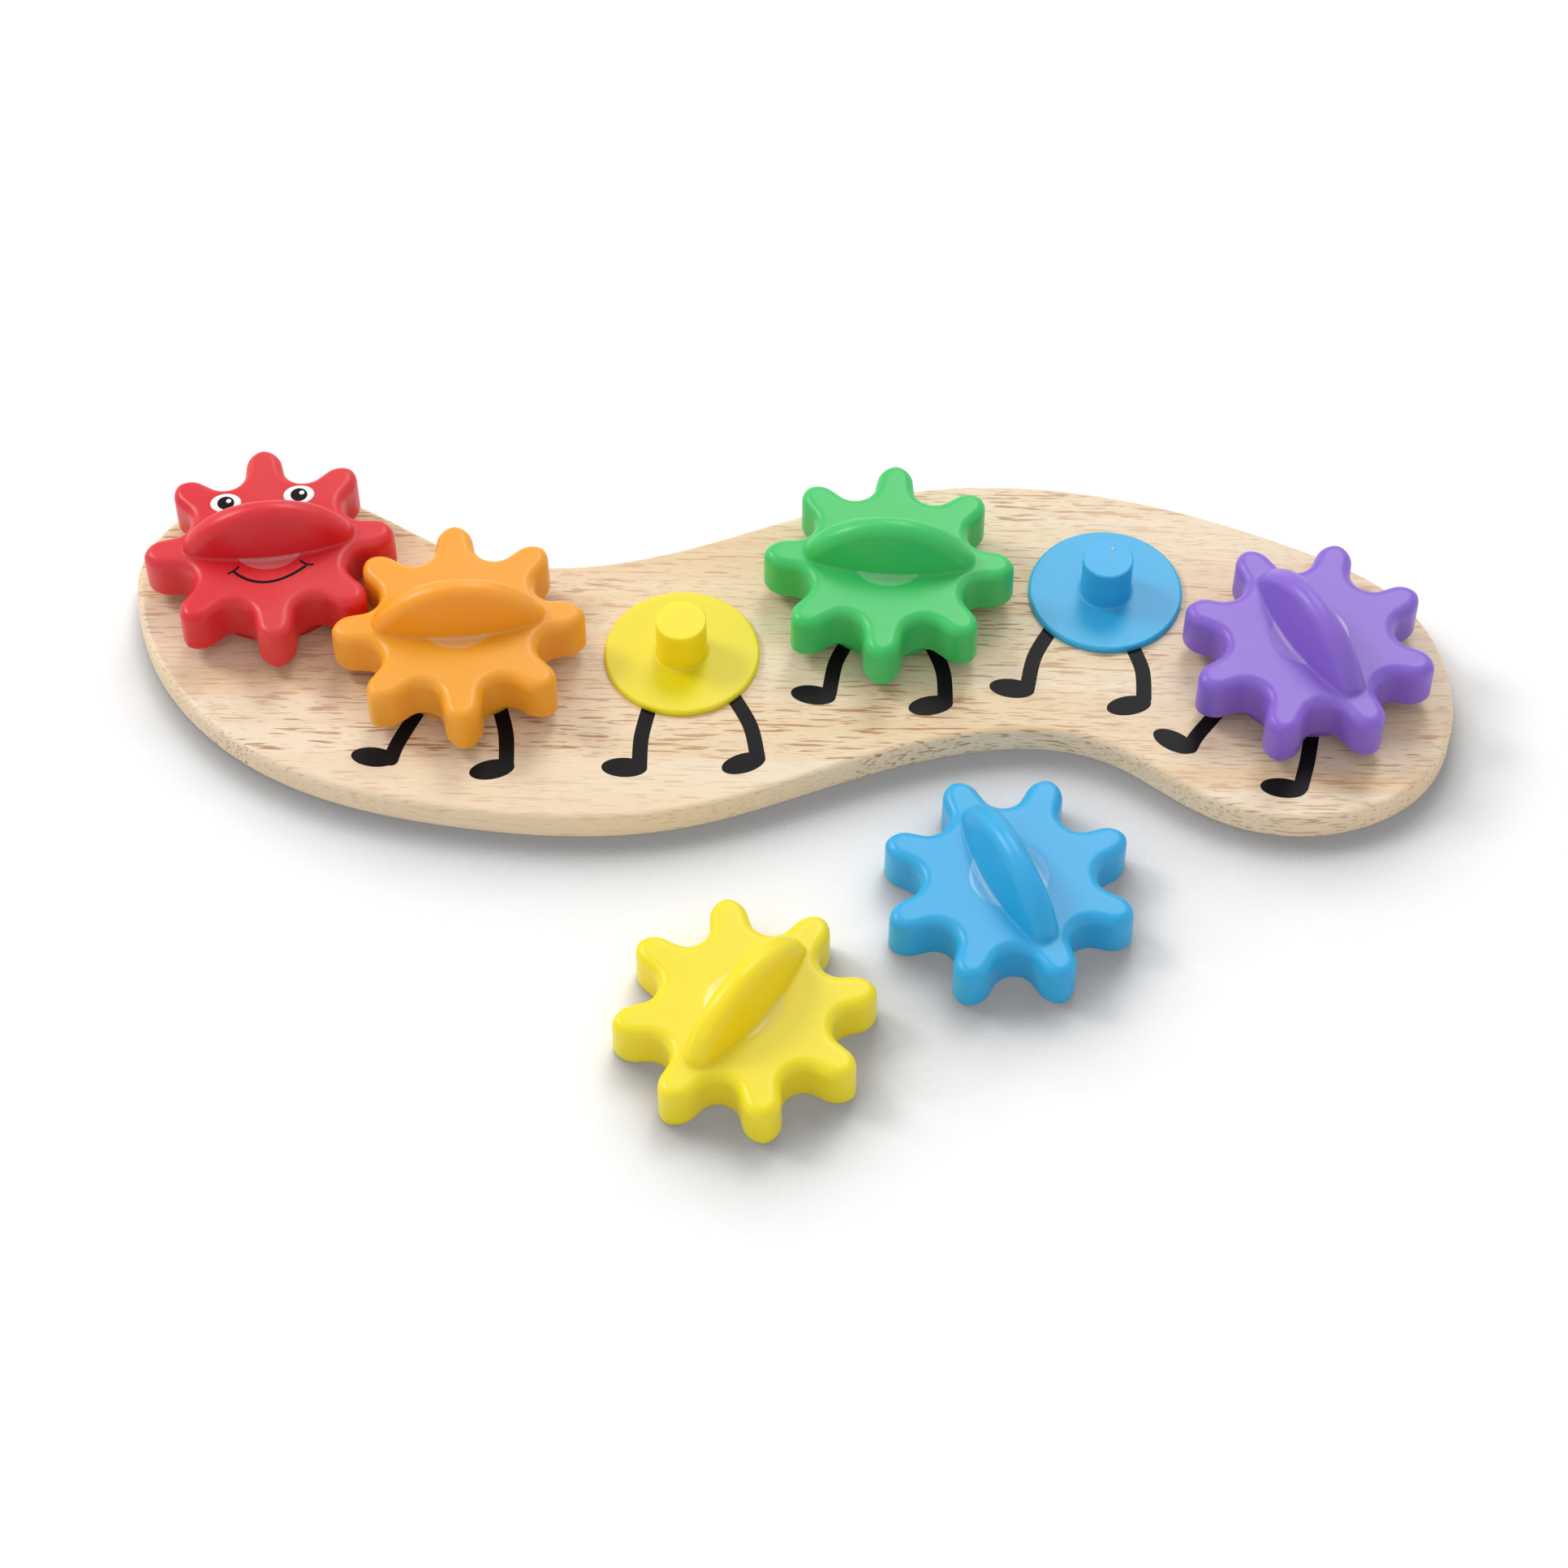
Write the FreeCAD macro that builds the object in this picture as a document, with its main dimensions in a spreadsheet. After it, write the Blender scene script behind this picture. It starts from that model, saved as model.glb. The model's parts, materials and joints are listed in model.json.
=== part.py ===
import FreeCAD
import Part
import Sketcher
import math
import os

# Toy for small hands: a wooden board, wavy like a crawling bug, with six moulded hubs along it,
# and six toothed gears that drop over the pegs of the hubs and are spun by their grips.
# Two of the gears are taken off and lie on the table in front of the board.
# Lengths are in millimetres and angles in degrees.
# X runs along the board, Z is up, and the origin is the middle of the board's underside.

SIZES = {
    # board
    "board_thick": 10.0,
    "board_round": 2.0,
    "front_seam_y": -42.5,
    "back_seam_y": 27.9,
    # hub row, from the head on the left to the tail on the right
    "head_x": -155.75,
    "head_y": 22.2,
    "hub_pitch": 65.6,
    "link_1_angle": -26.4,
    "link_2_angle": 2.7,
    "link_3_angle": 21.1,
    "link_4_angle": 2.6,
    "link_5_angle": -27.4,
    # how far the board's edge lies from a hub, going round from the head
    "edge_head_end": 41.8,
    "edge_head_corner": 45.5,
    "edge_head_front": 65.4,
    "edge_second_front": 55.4,
    "edge_third_front": 58.1,
    "edge_fourth_front": 58.8,
    "edge_fifth_front": 57.9,
    "edge_tail_foot": 55.4,
    "edge_tail_front": 53.0,
    "edge_tail_corner": 49.8,
    "edge_tail_end": 43.4,
    "edge_tail_shoulder": 43.1,
    "edge_tail_back": 50.5,
    "edge_fifth_back": 39.8,
    "edge_fourth_back": 42.0,
    "edge_third_back": 42.5,
    "edge_second_back": 41.0,
    "edge_head_back": 38.5,
    "edge_head_crown": 39.9,
    # hub
    "disc_radius": 23.15,
    "disc_thick": 2.1,
    "disc_round": 0.9,
    "peg_radius": 7.55,
    "peg_height": 14.6,
    "peg_round": 0.6,
    "peg_foot_round": 1.0,
    # screw that holds a hub from beneath
    "screw_length": 20.0,
    "shank_radius": 1.8,
    "screw_head_radius": 3.7,
    "screw_head_depth": 2.2,
    "head_recess": 0.6,
    "screw_point": 2.4,
    "drive_width": 0.8,
    "drive_length": 4.4,
    "drive_depth": 1.5,
    "pilot_clearance": 0.05,
    "pilot_spare": 1.2,
    "board_hole_clearance": 0.4,
    # gear
    "tooth_count": 8,
    "gear_radius": 37.5,
    "gear_height": 14.7,
    "root_radius": 25.3,
    "valley_radius": 6.13,
    "flank_taper": 7.25,
    "tip_round": 4.6,
    "tip_round_share": 0.97,
    "top_round": 3.1,
    "foot_round": 0.6,
    "side_wall": 2.8,
    "top_wall": 3.0,
    "core_round": 1.0,
    "bore_clearance": 0.35,
    "bore_depth": 12.3,
    "bore_chamfer": 0.5,
    "boss_wall": 2.5,
    "rib_thick": 2.0,
    "rib_recess": 1.5,
    "dish_radius": 11.7,
    "dish_depth": 1.3,
    "seat_gap": 0.2,
    # grip across the gear's top
    "grip_half_length": 26.25,
    "grip_half_width": 7.5,
    "grip_end_round": 4.0,
    "grip_height": 15.8,
    "grip_root": 0.5,
    "grip_toe": 0.3,
    "crown_half_width": 2.4,
    "crown_end_round": 1.9,
    "crest_round": 1.9,
    # where the gears are: turned about their own axes, and the two loose ones on the table
    "red_gear_angle": 8.5,
    "green_gear_angle": -3.1,
    "purple_gear_angle": -61.35,
    "yellow_gear_angle": 55.1,
    "blue_gear_angle": -64.55,
    "loose_yellow_x": -9.05,
    "loose_yellow_y": -131.4,
    "loose_blue_x": 65.0,
    "loose_blue_y": -85.85,
}

HUB_COLOURS = ["red", "orange", "yellow", "green", "blue", "purple"]
SEATED_GEARS = ["red", "orange", "green", "purple"]
LOOSE_GEARS = ["yellow", "blue"]


def make_sheet(doc):
    sheet = doc.addObject("Spreadsheet::Sheet", "Sizes")
    for row, (name, value) in enumerate(SIZES.items(), start=1):
        sheet.set("A%d" % row, name)
        sheet.set("B%d" % row, str(value))
        sheet.setAlias("B%d" % row, name)
    doc.recompute()
    return sheet


def bind(thing, **expressions):
    """Bind properties to expressions; a double underscore in a name stands for a dot."""
    for name, expression in expressions.items():
        thing.setExpression(name.replace("__", "."), expression)


def origin_part(body, role):
    for feature in body.Origin.OriginFeatures:
        if feature.Role == role:
            return feature
    raise RuntimeError("no " + role)


def add_sketch(body, name, role="XY_Plane", **offset):
    sketch = body.newObject("Sketcher::SketchObject", name)
    sketch.AttachmentSupport = [(origin_part(body, role), "")]
    sketch.MapMode = "FlatFace"
    bind(sketch, **offset)
    return sketch


def fix(sketch, *facts):
    sketch.addConstraint(Sketcher.Constraint(*facts))


def size(sketch, name, expression, *facts):
    """Add a dimension to a sketch and bind it to an expression."""
    index = sketch.addConstraint(Sketcher.Constraint(*facts))
    sketch.renameConstraint(index, name)
    sketch.setExpression("Constraints." + name, expression)


def add_circle(sketch, name, expression):
    """Draw a circle about the sketch's origin; the first radius is only a start."""
    start = 10.0
    circle = sketch.addGeometry(Part.Circle(FreeCAD.Vector(), FreeCAD.Vector(0, 0, 1), start))
    fix(sketch, "Coincident", circle, 3, -1, 1)
    size(sketch, name, expression, "Radius", circle, start)


def add_feature(body, kind, name, sketch, **expressions):
    feature = body.newObject("PartDesign::" + kind, name)
    feature.Profile = sketch
    feature.Refine = False
    bind(feature, **expressions)
    return feature


def round_edges(body, name, base, radius, wanted):
    """Fillet those edges of the base for which wanted(edge) is true."""
    body.Document.recompute()
    names = ["Edge%d" % number for number, edge in enumerate(base.Shape.Edges, start=1) if wanted(edge)]
    if not names:
        raise RuntimeError("no edge to round for " + name)
    fillet = body.newObject("PartDesign::Fillet", name)
    fillet.Base = (base, names)
    fillet.Refine = False
    bind(fillet, Radius=radius)
    return fillet


def lies_at(edge, height):
    return all(abs(vertex.Point.z - height) < 1e-4 for vertex in edge.Vertexes)


def pattern_round(body, name, originals):
    """Repeat features about Z, once for each tooth."""
    pattern = body.newObject("PartDesign::PolarPattern", name)
    pattern.Originals = originals
    pattern.Axis = (origin_part(body, "Z_Axis"), [""])
    pattern.Angle = 360
    pattern.Refine = False
    bind(pattern, Occurrences="Sizes.tooth_count")
    body.Tip = pattern
    return pattern


def add_gap_sketch(body, value, name, valley, rim):
    """The gap between two teeth: a round valley whose flanks open out to beyond the rim."""
    sketch = add_sketch(body, name, AttachmentOffset__Rotation__Angle="180 / Sizes.tooth_count")
    half = math.radians(180 / value("tooth_count") + value("flank_taper"))
    radius = value("valley_radius")
    centre = FreeCAD.Vector(value("root_radius") + radius, 0, 0)
    reach = 1.2 * value("gear_radius")
    touch = centre + FreeCAD.Vector(-radius * math.sin(half), radius * math.cos(half), 0)
    mouth = FreeCAD.Vector(reach, touch.y + (reach - touch.x) * math.tan(half), 0)
    low_touch = FreeCAD.Vector(touch.x, -touch.y, 0)
    low_mouth = FreeCAD.Vector(mouth.x, -mouth.y, 0)
    circle = Part.Circle(centre, FreeCAD.Vector(0, 0, 1), radius)
    quarter = math.pi / 2
    arc = sketch.addGeometry(Part.ArcOfCircle(circle, quarter + half, 3 * quarter - half))
    upper = sketch.addGeometry(Part.LineSegment(touch, mouth))
    lower = sketch.addGeometry(Part.LineSegment(low_mouth, low_touch))
    across = sketch.addGeometry(Part.LineSegment(mouth, low_mouth))
    fix(sketch, "PointOnObject", arc, 3, -1)
    fix(sketch, "Tangent", arc, 1, upper, 1)
    fix(sketch, "Tangent", arc, 2, lower, 2)
    fix(sketch, "Coincident", upper, 2, across, 1)
    fix(sketch, "Coincident", across, 2, lower, 1)
    fix(sketch, "Symmetric", upper, 2, lower, 1, -1)
    size(sketch, "centre", "Sizes.root_radius + Sizes.valley_radius", "DistanceX", -1, 1, arc, 3, centre.x)
    size(sketch, "valley", valley, "Radius", arc, radius)
    size(sketch, "reach", "1.2 * " + rim, "DistanceX", -1, 1, upper, 2, reach)
    size(sketch, "opening", "180 / Sizes.tooth_count + Sizes.flank_taper", "Angle", -1, 1, upper, 1, half)
    return sketch


def tooth_half_width(rim, valley):
    """Half of a tooth's width at its tip, which its two corners share."""
    centre = "(Sizes.root_radius + Sizes.valley_radius)"
    pitch = "(180deg / Sizes.tooth_count)"
    taper = "(Sizes.flank_taper * 1deg)"
    narrowing = "(%s - %s * cos(%s)) * sin(%s)" % (rim, centre, pitch, taper)
    return "(%s * sin(%s) - (%s + %s) / cos(%s))" % (centre, pitch, valley, narrowing, taper)


def make_toothed_body(doc, name, value, rim, valley, tip, height):
    """A disc with rounded gaps cut into its rim, and its standing tooth corners rounded."""
    body = doc.addObject("PartDesign::Body", name)
    disc_sketch = add_sketch(body, name + "_disc_sketch")
    add_circle(disc_sketch, "rim", rim)
    disc = add_feature(body, "Pad", name + "_disc", disc_sketch, Length=height)
    gap_sketch = add_gap_sketch(body, value, name + "_gap_sketch", valley, rim)
    gap = add_feature(body, "Pocket", name + "_gap", gap_sketch, Length=height)
    gap.Reversed = True
    gaps = pattern_round(body, name + "_gaps", [gap])
    doc.recompute()
    if gaps.Shape.Volume > 0.95 * disc.Shape.Volume:
        raise RuntimeError("the gaps of %s cut nothing" % name)
    top = disc.Shape.BoundBox.ZMax
    inner = 0.9 * disc.Shape.BoundBox.XMax

    def stands_at_tip(edge):
        ends = [vertex.Point for vertex in edge.Vertexes]
        far = min(math.hypot(point.x, point.y) for point in ends) > inner
        return far and abs(abs(ends[0].z - ends[-1].z) - top) < 1e-3

    limit = "Sizes.tip_round_share * " + tooth_half_width(rim, valley)
    corners = round_edges(body, name + "_corners", gaps, "min(%s; %s)" % (tip, limit), stands_at_tip)
    return body, corners


def make_gear(doc, value):
    """One moulding: toothed rim, cored from beneath, with a boss for the peg and a grip on top."""
    body, corners = make_toothed_body(
        doc, "gear", value, "Sizes.gear_radius", "Sizes.valley_radius", "Sizes.tip_round",
        "Sizes.gear_height")
    height = value("gear_height")
    top = round_edges(body, "gear_top_edge", corners, "Sizes.top_round", lambda edge: lies_at(edge, height))
    round_edges(body, "gear_foot_edge", top, "Sizes.foot_round", lambda edge: lies_at(edge, 0))

    core, _ = make_toothed_body(
        doc, "core", value, "Sizes.gear_radius - Sizes.side_wall", "Sizes.valley_radius + Sizes.side_wall",
        "Sizes.core_round", "Sizes.gear_height - Sizes.top_wall")
    doc.recompute()
    hollow = body.newObject("PartDesign::Boolean", "gear_hollow")
    hollow.Type = "Cut"
    hollow.Refine = False
    hollow.setObjects([core])

    boss_sketch = add_sketch(body, "boss_sketch")
    add_circle(boss_sketch, "boss", "Sizes.peg_radius + Sizes.bore_clearance + Sizes.boss_wall")
    add_feature(body, "Pad", "boss", boss_sketch, Length="Sizes.gear_height - Sizes.top_wall / 2")

    rib_sketch = add_sketch(
        body, "rib_sketch", AttachmentOffset__Rotation__Angle="180 / Sizes.tooth_count",
        AttachmentOffset__Base__z="Sizes.rib_recess")
    add_rib_outline(rib_sketch, value)
    rib = add_feature(
        body, "Pad", "rib", rib_sketch,
        Length="Sizes.gear_height - Sizes.top_wall / 2 - Sizes.rib_recess")
    pattern_round(body, "ribs", [rib])

    bore_sketch = add_sketch(body, "bore_sketch")
    add_circle(bore_sketch, "bore", "Sizes.peg_radius + Sizes.bore_clearance")
    bore = add_feature(body, "Pocket", "bore", bore_sketch, Length="Sizes.bore_depth")
    bore.Reversed = True
    doc.recompute()
    bore_radius = value("peg_radius") + value("bore_clearance")

    def is_bore_mouth(edge):
        curve = edge.Curve
        return lies_at(edge, 0) and hasattr(curve, "Radius") and abs(curve.Radius - bore_radius) < 1e-4

    names = [
        "Edge%d" % number for number, edge in enumerate(bore.Shape.Edges, start=1) if is_bore_mouth(edge)]
    mouth = body.newObject("PartDesign::Chamfer", "bore_mouth")
    mouth.Base = (bore, names)
    mouth.Refine = False
    bind(mouth, Size="Sizes.bore_chamfer")

    add_dish(body, value)
    grip = make_grip(doc, value)
    doc.recompute()
    joined = body.newObject("PartDesign::Boolean", "gear_with_grip")
    joined.Type = "Fuse"
    joined.Refine = False
    joined.setObjects([grip])
    doc.recompute()
    return body


def add_rib_outline(sketch, value):
    """A rib's plan: a slim rectangle from inside the boss to inside the wall of a valley."""
    start = value("peg_radius") + value("boss_wall") / 2
    end = value("root_radius") - value("side_wall") / 2
    half = value("rib_thick") / 2
    corners = [(start, -half), (end, -half), (end, half), (start, half)]
    lines = []
    for first, second in zip(corners, corners[1:] + corners[:1]):
        line = Part.LineSegment(FreeCAD.Vector(*first, 0), FreeCAD.Vector(*second, 0))
        lines.append(sketch.addGeometry(line))
    for first, second in zip(lines, lines[1:] + lines[:1]):
        fix(sketch, "Coincident", first, 2, second, 1)
    fix(sketch, "Horizontal", lines[0])
    fix(sketch, "Vertical", lines[1])
    fix(sketch, "Horizontal", lines[2])
    fix(sketch, "Symmetric", lines[0], 1, lines[2], 2, -1)
    inner = "Sizes.peg_radius + Sizes.bore_clearance + Sizes.boss_wall / 2"
    outer = "Sizes.root_radius - Sizes.side_wall / 2"
    size(sketch, "inner_end", inner, "DistanceX", -1, 1, lines[0], 1, start)
    size(sketch, "outer_end", outer, "DistanceX", -1, 1, lines[0], 2, end)
    size(sketch, "thick", "Sizes.rib_thick", "DistanceY", lines[1], 1, lines[1], 2, 2 * half)


def add_dish(body, value):
    """A shallow round dish in the middle of the gear's top, under the grip."""
    rim = value("dish_radius")
    depth = value("dish_depth")
    height = value("gear_height")
    sphere = (rim ** 2 + depth ** 2) / (2 * depth)
    centre_z = height - depth + sphere
    sketch = add_sketch(body, "dish_sketch", "XZ_Plane")
    bottom = FreeCAD.Vector(0, height - depth, 0)
    edge = FreeCAD.Vector(rim, height, 0)
    above_edge = FreeCAD.Vector(rim, height + depth, 0)
    above = FreeCAD.Vector(0, height + depth, 0)
    circle = Part.Circle(FreeCAD.Vector(0, centre_z, 0), FreeCAD.Vector(0, 0, 1), sphere)
    end_angle = math.atan2(height - centre_z, rim)
    arc = sketch.addGeometry(Part.ArcOfCircle(circle, -math.pi / 2, end_angle))
    rise = sketch.addGeometry(Part.LineSegment(edge, above_edge))
    back = sketch.addGeometry(Part.LineSegment(above_edge, above))
    axis = sketch.addGeometry(Part.LineSegment(above, bottom))
    fix(sketch, "PointOnObject", arc, 3, -2)
    fix(sketch, "Coincident", arc, 2, rise, 1)
    fix(sketch, "Coincident", rise, 2, back, 1)
    fix(sketch, "Coincident", back, 2, axis, 1)
    fix(sketch, "Coincident", axis, 2, arc, 1)
    fix(sketch, "Vertical", rise)
    fix(sketch, "Horizontal", back)
    fix(sketch, "PointOnObject", axis, 1, -2)
    fix(sketch, "PointOnObject", axis, 2, -2)
    size(sketch, "rim", "Sizes.dish_radius", "DistanceX", -1, 1, arc, 2, rim)
    size(sketch, "rim_level", "Sizes.gear_height", "DistanceY", -1, 1, arc, 2, height)
    low = "Sizes.gear_height - Sizes.dish_depth"
    high = "Sizes.gear_height + Sizes.dish_depth"
    size(sketch, "bottom_level", low, "DistanceY", -1, 1, arc, 1, height - depth)
    size(sketch, "clear_level", high, "DistanceY", -1, 1, axis, 1, height + depth)
    groove = body.newObject("PartDesign::Groove", "dish")
    groove.Profile = sketch
    groove.ReferenceAxis = (sketch, ["V_Axis"])
    groove.Angle = 360
    groove.Refine = False
    body.Document.recompute()
    before = groove.BaseFeature.Shape.Volume
    if groove.Shape.Volume >= before:
        raise RuntimeError("the dish cuts nothing")
    return groove


def make_grip(doc, value):
    """The fin across the top: a leaf-shaped foot narrowing to a slim crown, cut to a round crest."""
    body = doc.addObject("PartDesign::Body", "grip")
    low = "Sizes.gear_height - Sizes.dish_depth - Sizes.grip_root"
    high = "Sizes.gear_height + Sizes.grip_height + Sizes.grip_root"
    foot_sketch = add_sketch(body, "foot_sketch", AttachmentOffset__Base__z=low)
    add_leaf_outline(foot_sketch, value, "grip_half_width", "grip_end_round")
    crown_sketch = add_sketch(body, "crown_sketch", AttachmentOffset__Base__z=high)
    add_leaf_outline(crown_sketch, value, "crown_half_width", "crown_end_round")
    blank = body.newObject("PartDesign::AdditiveLoft", "grip_blank")
    blank.Profile = foot_sketch
    blank.Sections = [crown_sketch]
    blank.Ruled = True
    blank.Refine = False
    crest_sketch = add_sketch(body, "crest_sketch", "XZ_Plane")
    add_crest_outline(crest_sketch, value)
    crest = add_feature(body, "Pocket", "crest", crest_sketch, Length="4 * Sizes.grip_half_width")
    crest.SideType = "Symmetric"
    doc.recompute()
    if crest.Shape.Volume >= blank.Shape.Volume:
        raise RuntimeError("the crest cuts nothing")
    over_arc = value("gear_height")

    def is_crest_face(face):
        surface = face.Surface
        if surface.TypeId != "Part::GeomCylinder":
            return False
        return abs(abs(surface.Axis.y) - 1) < 1e-6 and face.CenterOfMass.z > over_arc

    def bounds_crest(edge):
        return any(is_crest_face(face) for face in crest.Shape.ancestorsOfType(edge, Part.Face))

    round_edges(body, "crest_edge", crest, "Sizes.crest_round", bounds_crest)
    return body


def add_leaf_outline(sketch, value, width_name, end_name):
    """Two long shallow arcs joined by a small round at each end, all tangent."""
    half_width = value(width_name)
    small = value(end_name)
    reach = value("grip_half_length") - small
    big = (reach ** 2 + half_width ** 2 - small ** 2) / (2 * (half_width - small))
    up = FreeCAD.Vector(0, 0, 1)
    tilt = math.atan2(big - half_width, reach)
    back_circle = Part.Circle(FreeCAD.Vector(0, half_width - big, 0), up, big)
    front_circle = Part.Circle(FreeCAD.Vector(0, big - half_width, 0), up, big)
    right_circle = Part.Circle(FreeCAD.Vector(reach, 0, 0), up, small)
    left_circle = Part.Circle(FreeCAD.Vector(-reach, 0, 0), up, small)
    back = sketch.addGeometry(Part.ArcOfCircle(back_circle, tilt, math.pi - tilt))
    left = sketch.addGeometry(Part.ArcOfCircle(left_circle, math.pi - tilt, math.pi + tilt))
    front = sketch.addGeometry(Part.ArcOfCircle(front_circle, math.pi + tilt, 2 * math.pi - tilt))
    right = sketch.addGeometry(Part.ArcOfCircle(right_circle, -tilt, tilt))
    fix(sketch, "Tangent", back, 2, left, 1)
    fix(sketch, "Tangent", left, 2, front, 1)
    fix(sketch, "Tangent", front, 2, right, 1)
    fix(sketch, "Tangent", right, 2, back, 1)
    fix(sketch, "PointOnObject", back, 3, -2)
    fix(sketch, "Equal", back, front)
    fix(sketch, "PointOnObject", right, 3, -1)
    fix(sketch, "Symmetric", left, 3, right, 3, -1, 1)
    end = "Sizes." + end_name
    width = "Sizes." + width_name
    length = "(Sizes.grip_half_length - %s)" % end
    radius = "(%s^2 + %s^2 - %s^2) / (2 * (%s - %s))" % (length, width, end, width, end)
    size(sketch, "end", end, "Radius", right, small)
    size(sketch, "reach", length, "DistanceX", -1, 1, right, 3, reach)
    size(sketch, "side", radius, "Radius", back, big)


def add_crest_outline(sketch, value):
    """What is cut away above the crest: everything over one arc from end to end."""
    base = value("gear_height")
    chord = value("grip_half_length") + value("grip_toe")
    rise = value("grip_height")
    radius = (chord ** 2 + rise ** 2) / (2 * rise)
    centre_z = base + rise - radius
    reach = 1.2 * chord
    level = base + 2 * rise
    angle = math.atan2(base - centre_z, chord)
    circle = Part.Circle(FreeCAD.Vector(0, centre_z, 0), FreeCAD.Vector(0, 0, 1), radius)
    points = [(-chord, base), (-reach, base), (-reach, level), (reach, level), (reach, base), (chord, base)]
    arc = sketch.addGeometry(Part.ArcOfCircle(circle, angle, math.pi - angle))
    lines = []
    for first, second in zip(points, points[1:]):
        line = Part.LineSegment(FreeCAD.Vector(*first, 0), FreeCAD.Vector(*second, 0))
        lines.append(sketch.addGeometry(line))
    fix(sketch, "Coincident", arc, 2, lines[0], 1)
    for first, second in zip(lines, lines[1:]):
        fix(sketch, "Coincident", first, 2, second, 1)
    fix(sketch, "Coincident", lines[-1], 2, arc, 1)
    for number in (0, 4):
        fix(sketch, "Horizontal", lines[number])
    for number in (1, 3):
        fix(sketch, "Vertical", lines[number])
    fix(sketch, "PointOnObject", arc, 3, -2)
    fix(sketch, "Symmetric", lines[2], 1, lines[2], 2, -2)
    length = "(Sizes.grip_half_length + Sizes.grip_toe)"
    arc_radius = "(%s^2 + Sizes.grip_height^2) / (2 * Sizes.grip_height)" % length
    size(sketch, "chord", length, "DistanceX", -1, 1, arc, 1, chord)
    size(sketch, "base", "Sizes.gear_height", "DistanceY", -1, 1, arc, 1, base)
    size(sketch, "crest", arc_radius, "Radius", arc, radius)
    size(sketch, "reach", "1.2 * " + length, "DistanceX", -1, 1, lines[4], 1, reach)
    top = "Sizes.gear_height + 2 * Sizes.grip_height"
    size(sketch, "level", top, "DistanceY", -1, 1, lines[2], 1, level)


def make_hub(doc):
    """One moulding: a disc that lies on the board and a peg; a pilot hole takes the screw."""
    body = doc.addObject("PartDesign::Body", "hub")
    disc_sketch = add_sketch(body, "hub_disc_sketch")
    add_circle(disc_sketch, "disc", "Sizes.disc_radius")
    add_feature(body, "Pad", "disc", disc_sketch, Length="Sizes.disc_thick")
    peg_sketch = add_sketch(body, "peg_sketch")
    add_circle(peg_sketch, "peg", "Sizes.peg_radius")
    peg = add_feature(body, "Pad", "peg", peg_sketch, Length="Sizes.disc_thick + Sizes.peg_height")
    doc.recompute()
    disc_top = doc.getObject("disc").Shape.BoundBox.ZMax
    disc_reach = doc.getObject("disc").Shape.BoundBox.XMax
    peg_top = peg.Shape.BoundBox.ZMax

    def is_rim(edge):
        return lies_at(edge, disc_top) and edge.BoundBox.XMax > 0.99 * disc_reach

    def is_peg_foot(edge):
        return lies_at(edge, disc_top) and edge.BoundBox.XMax < 0.9 * disc_reach

    rim = round_edges(body, "disc_edge", peg, "Sizes.disc_round", is_rim)
    foot = round_edges(body, "peg_foot", rim, "Sizes.peg_foot_round", is_peg_foot)
    round_edges(body, "peg_edge", foot, "Sizes.peg_round", lambda edge: lies_at(edge, peg_top))
    pilot_sketch = add_sketch(body, "pilot_sketch")
    add_circle(pilot_sketch, "pilot", "Sizes.shank_radius + Sizes.pilot_clearance")
    pilot = add_feature(
        body, "Pocket", "pilot", pilot_sketch,
        Length="Sizes.head_recess + Sizes.screw_length + Sizes.pilot_spare - Sizes.board_thick")
    pilot.Reversed = True
    doc.recompute()
    return body


def make_primitive(doc, kind, name, **expressions):
    solid = doc.addObject("Part::" + kind, name)
    bind(solid, **expressions)
    return solid


def make_screw(doc):
    """A countersunk screw, head down, with its cross-shaped drive cut from beneath."""
    head = make_primitive(
        doc, "Cone", "screw_head", Radius1="Sizes.screw_head_radius", Radius2="Sizes.shank_radius",
        Height="Sizes.screw_head_depth", Placement__Base__z="Sizes.head_recess")
    shank = make_primitive(
        doc, "Cylinder", "screw_shank", Radius="Sizes.shank_radius",
        Height="Sizes.screw_length - Sizes.screw_point - Sizes.screw_head_depth / 2",
        Placement__Base__z="Sizes.head_recess + Sizes.screw_head_depth / 2")
    point = make_primitive(
        doc, "Cone", "screw_tip", Radius1="Sizes.shank_radius", Radius2="Sizes.shank_radius / 6",
        Height="Sizes.screw_point",
        Placement__Base__z="Sizes.head_recess + Sizes.screw_length - Sizes.screw_point")
    solid = doc.addObject("Part::MultiFuse", "screw_solid")
    solid.Shapes = [head, shank, point]
    slots = []
    for name, along, across in (("slot_x", "length", "width"), ("slot_y", "width", "length")):
        slots.append(make_primitive(
            doc, "Box", "drive_" + name, Length="Sizes.drive_" + along, Width="Sizes.drive_" + across,
            Height="Sizes.drive_depth + Sizes.head_recess",
            Placement__Base__x="-Sizes.drive_%s / 2" % along,
            Placement__Base__y="-Sizes.drive_%s / 2" % across))
    drive = doc.addObject("Part::MultiFuse", "drive")
    drive.Shapes = slots
    screw = doc.addObject("Part::Cut", "screw")
    screw.Base = solid
    screw.Tool = drive
    return screw


def make_hole_tool(doc):
    """What each screw needs taken out of the board: a clearance hole, a countersink and a recess."""
    hole = make_primitive(
        doc, "Cylinder", "clearance_hole", Radius="Sizes.shank_radius + Sizes.board_hole_clearance",
        Height="Sizes.board_thick")
    sink = make_primitive(
        doc, "Cone", "countersink", Radius1="Sizes.screw_head_radius + Sizes.pilot_clearance",
        Radius2="Sizes.shank_radius + Sizes.pilot_clearance", Height="Sizes.screw_head_depth",
        Placement__Base__z="Sizes.head_recess")
    recess = make_primitive(
        doc, "Cylinder", "head_recess", Radius="Sizes.screw_head_radius + Sizes.pilot_clearance",
        Height="Sizes.head_recess")
    tool = doc.addObject("Part::MultiFuse", "hole_tool")
    tool.Shapes = [hole, sink, recess]
    return tool


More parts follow.
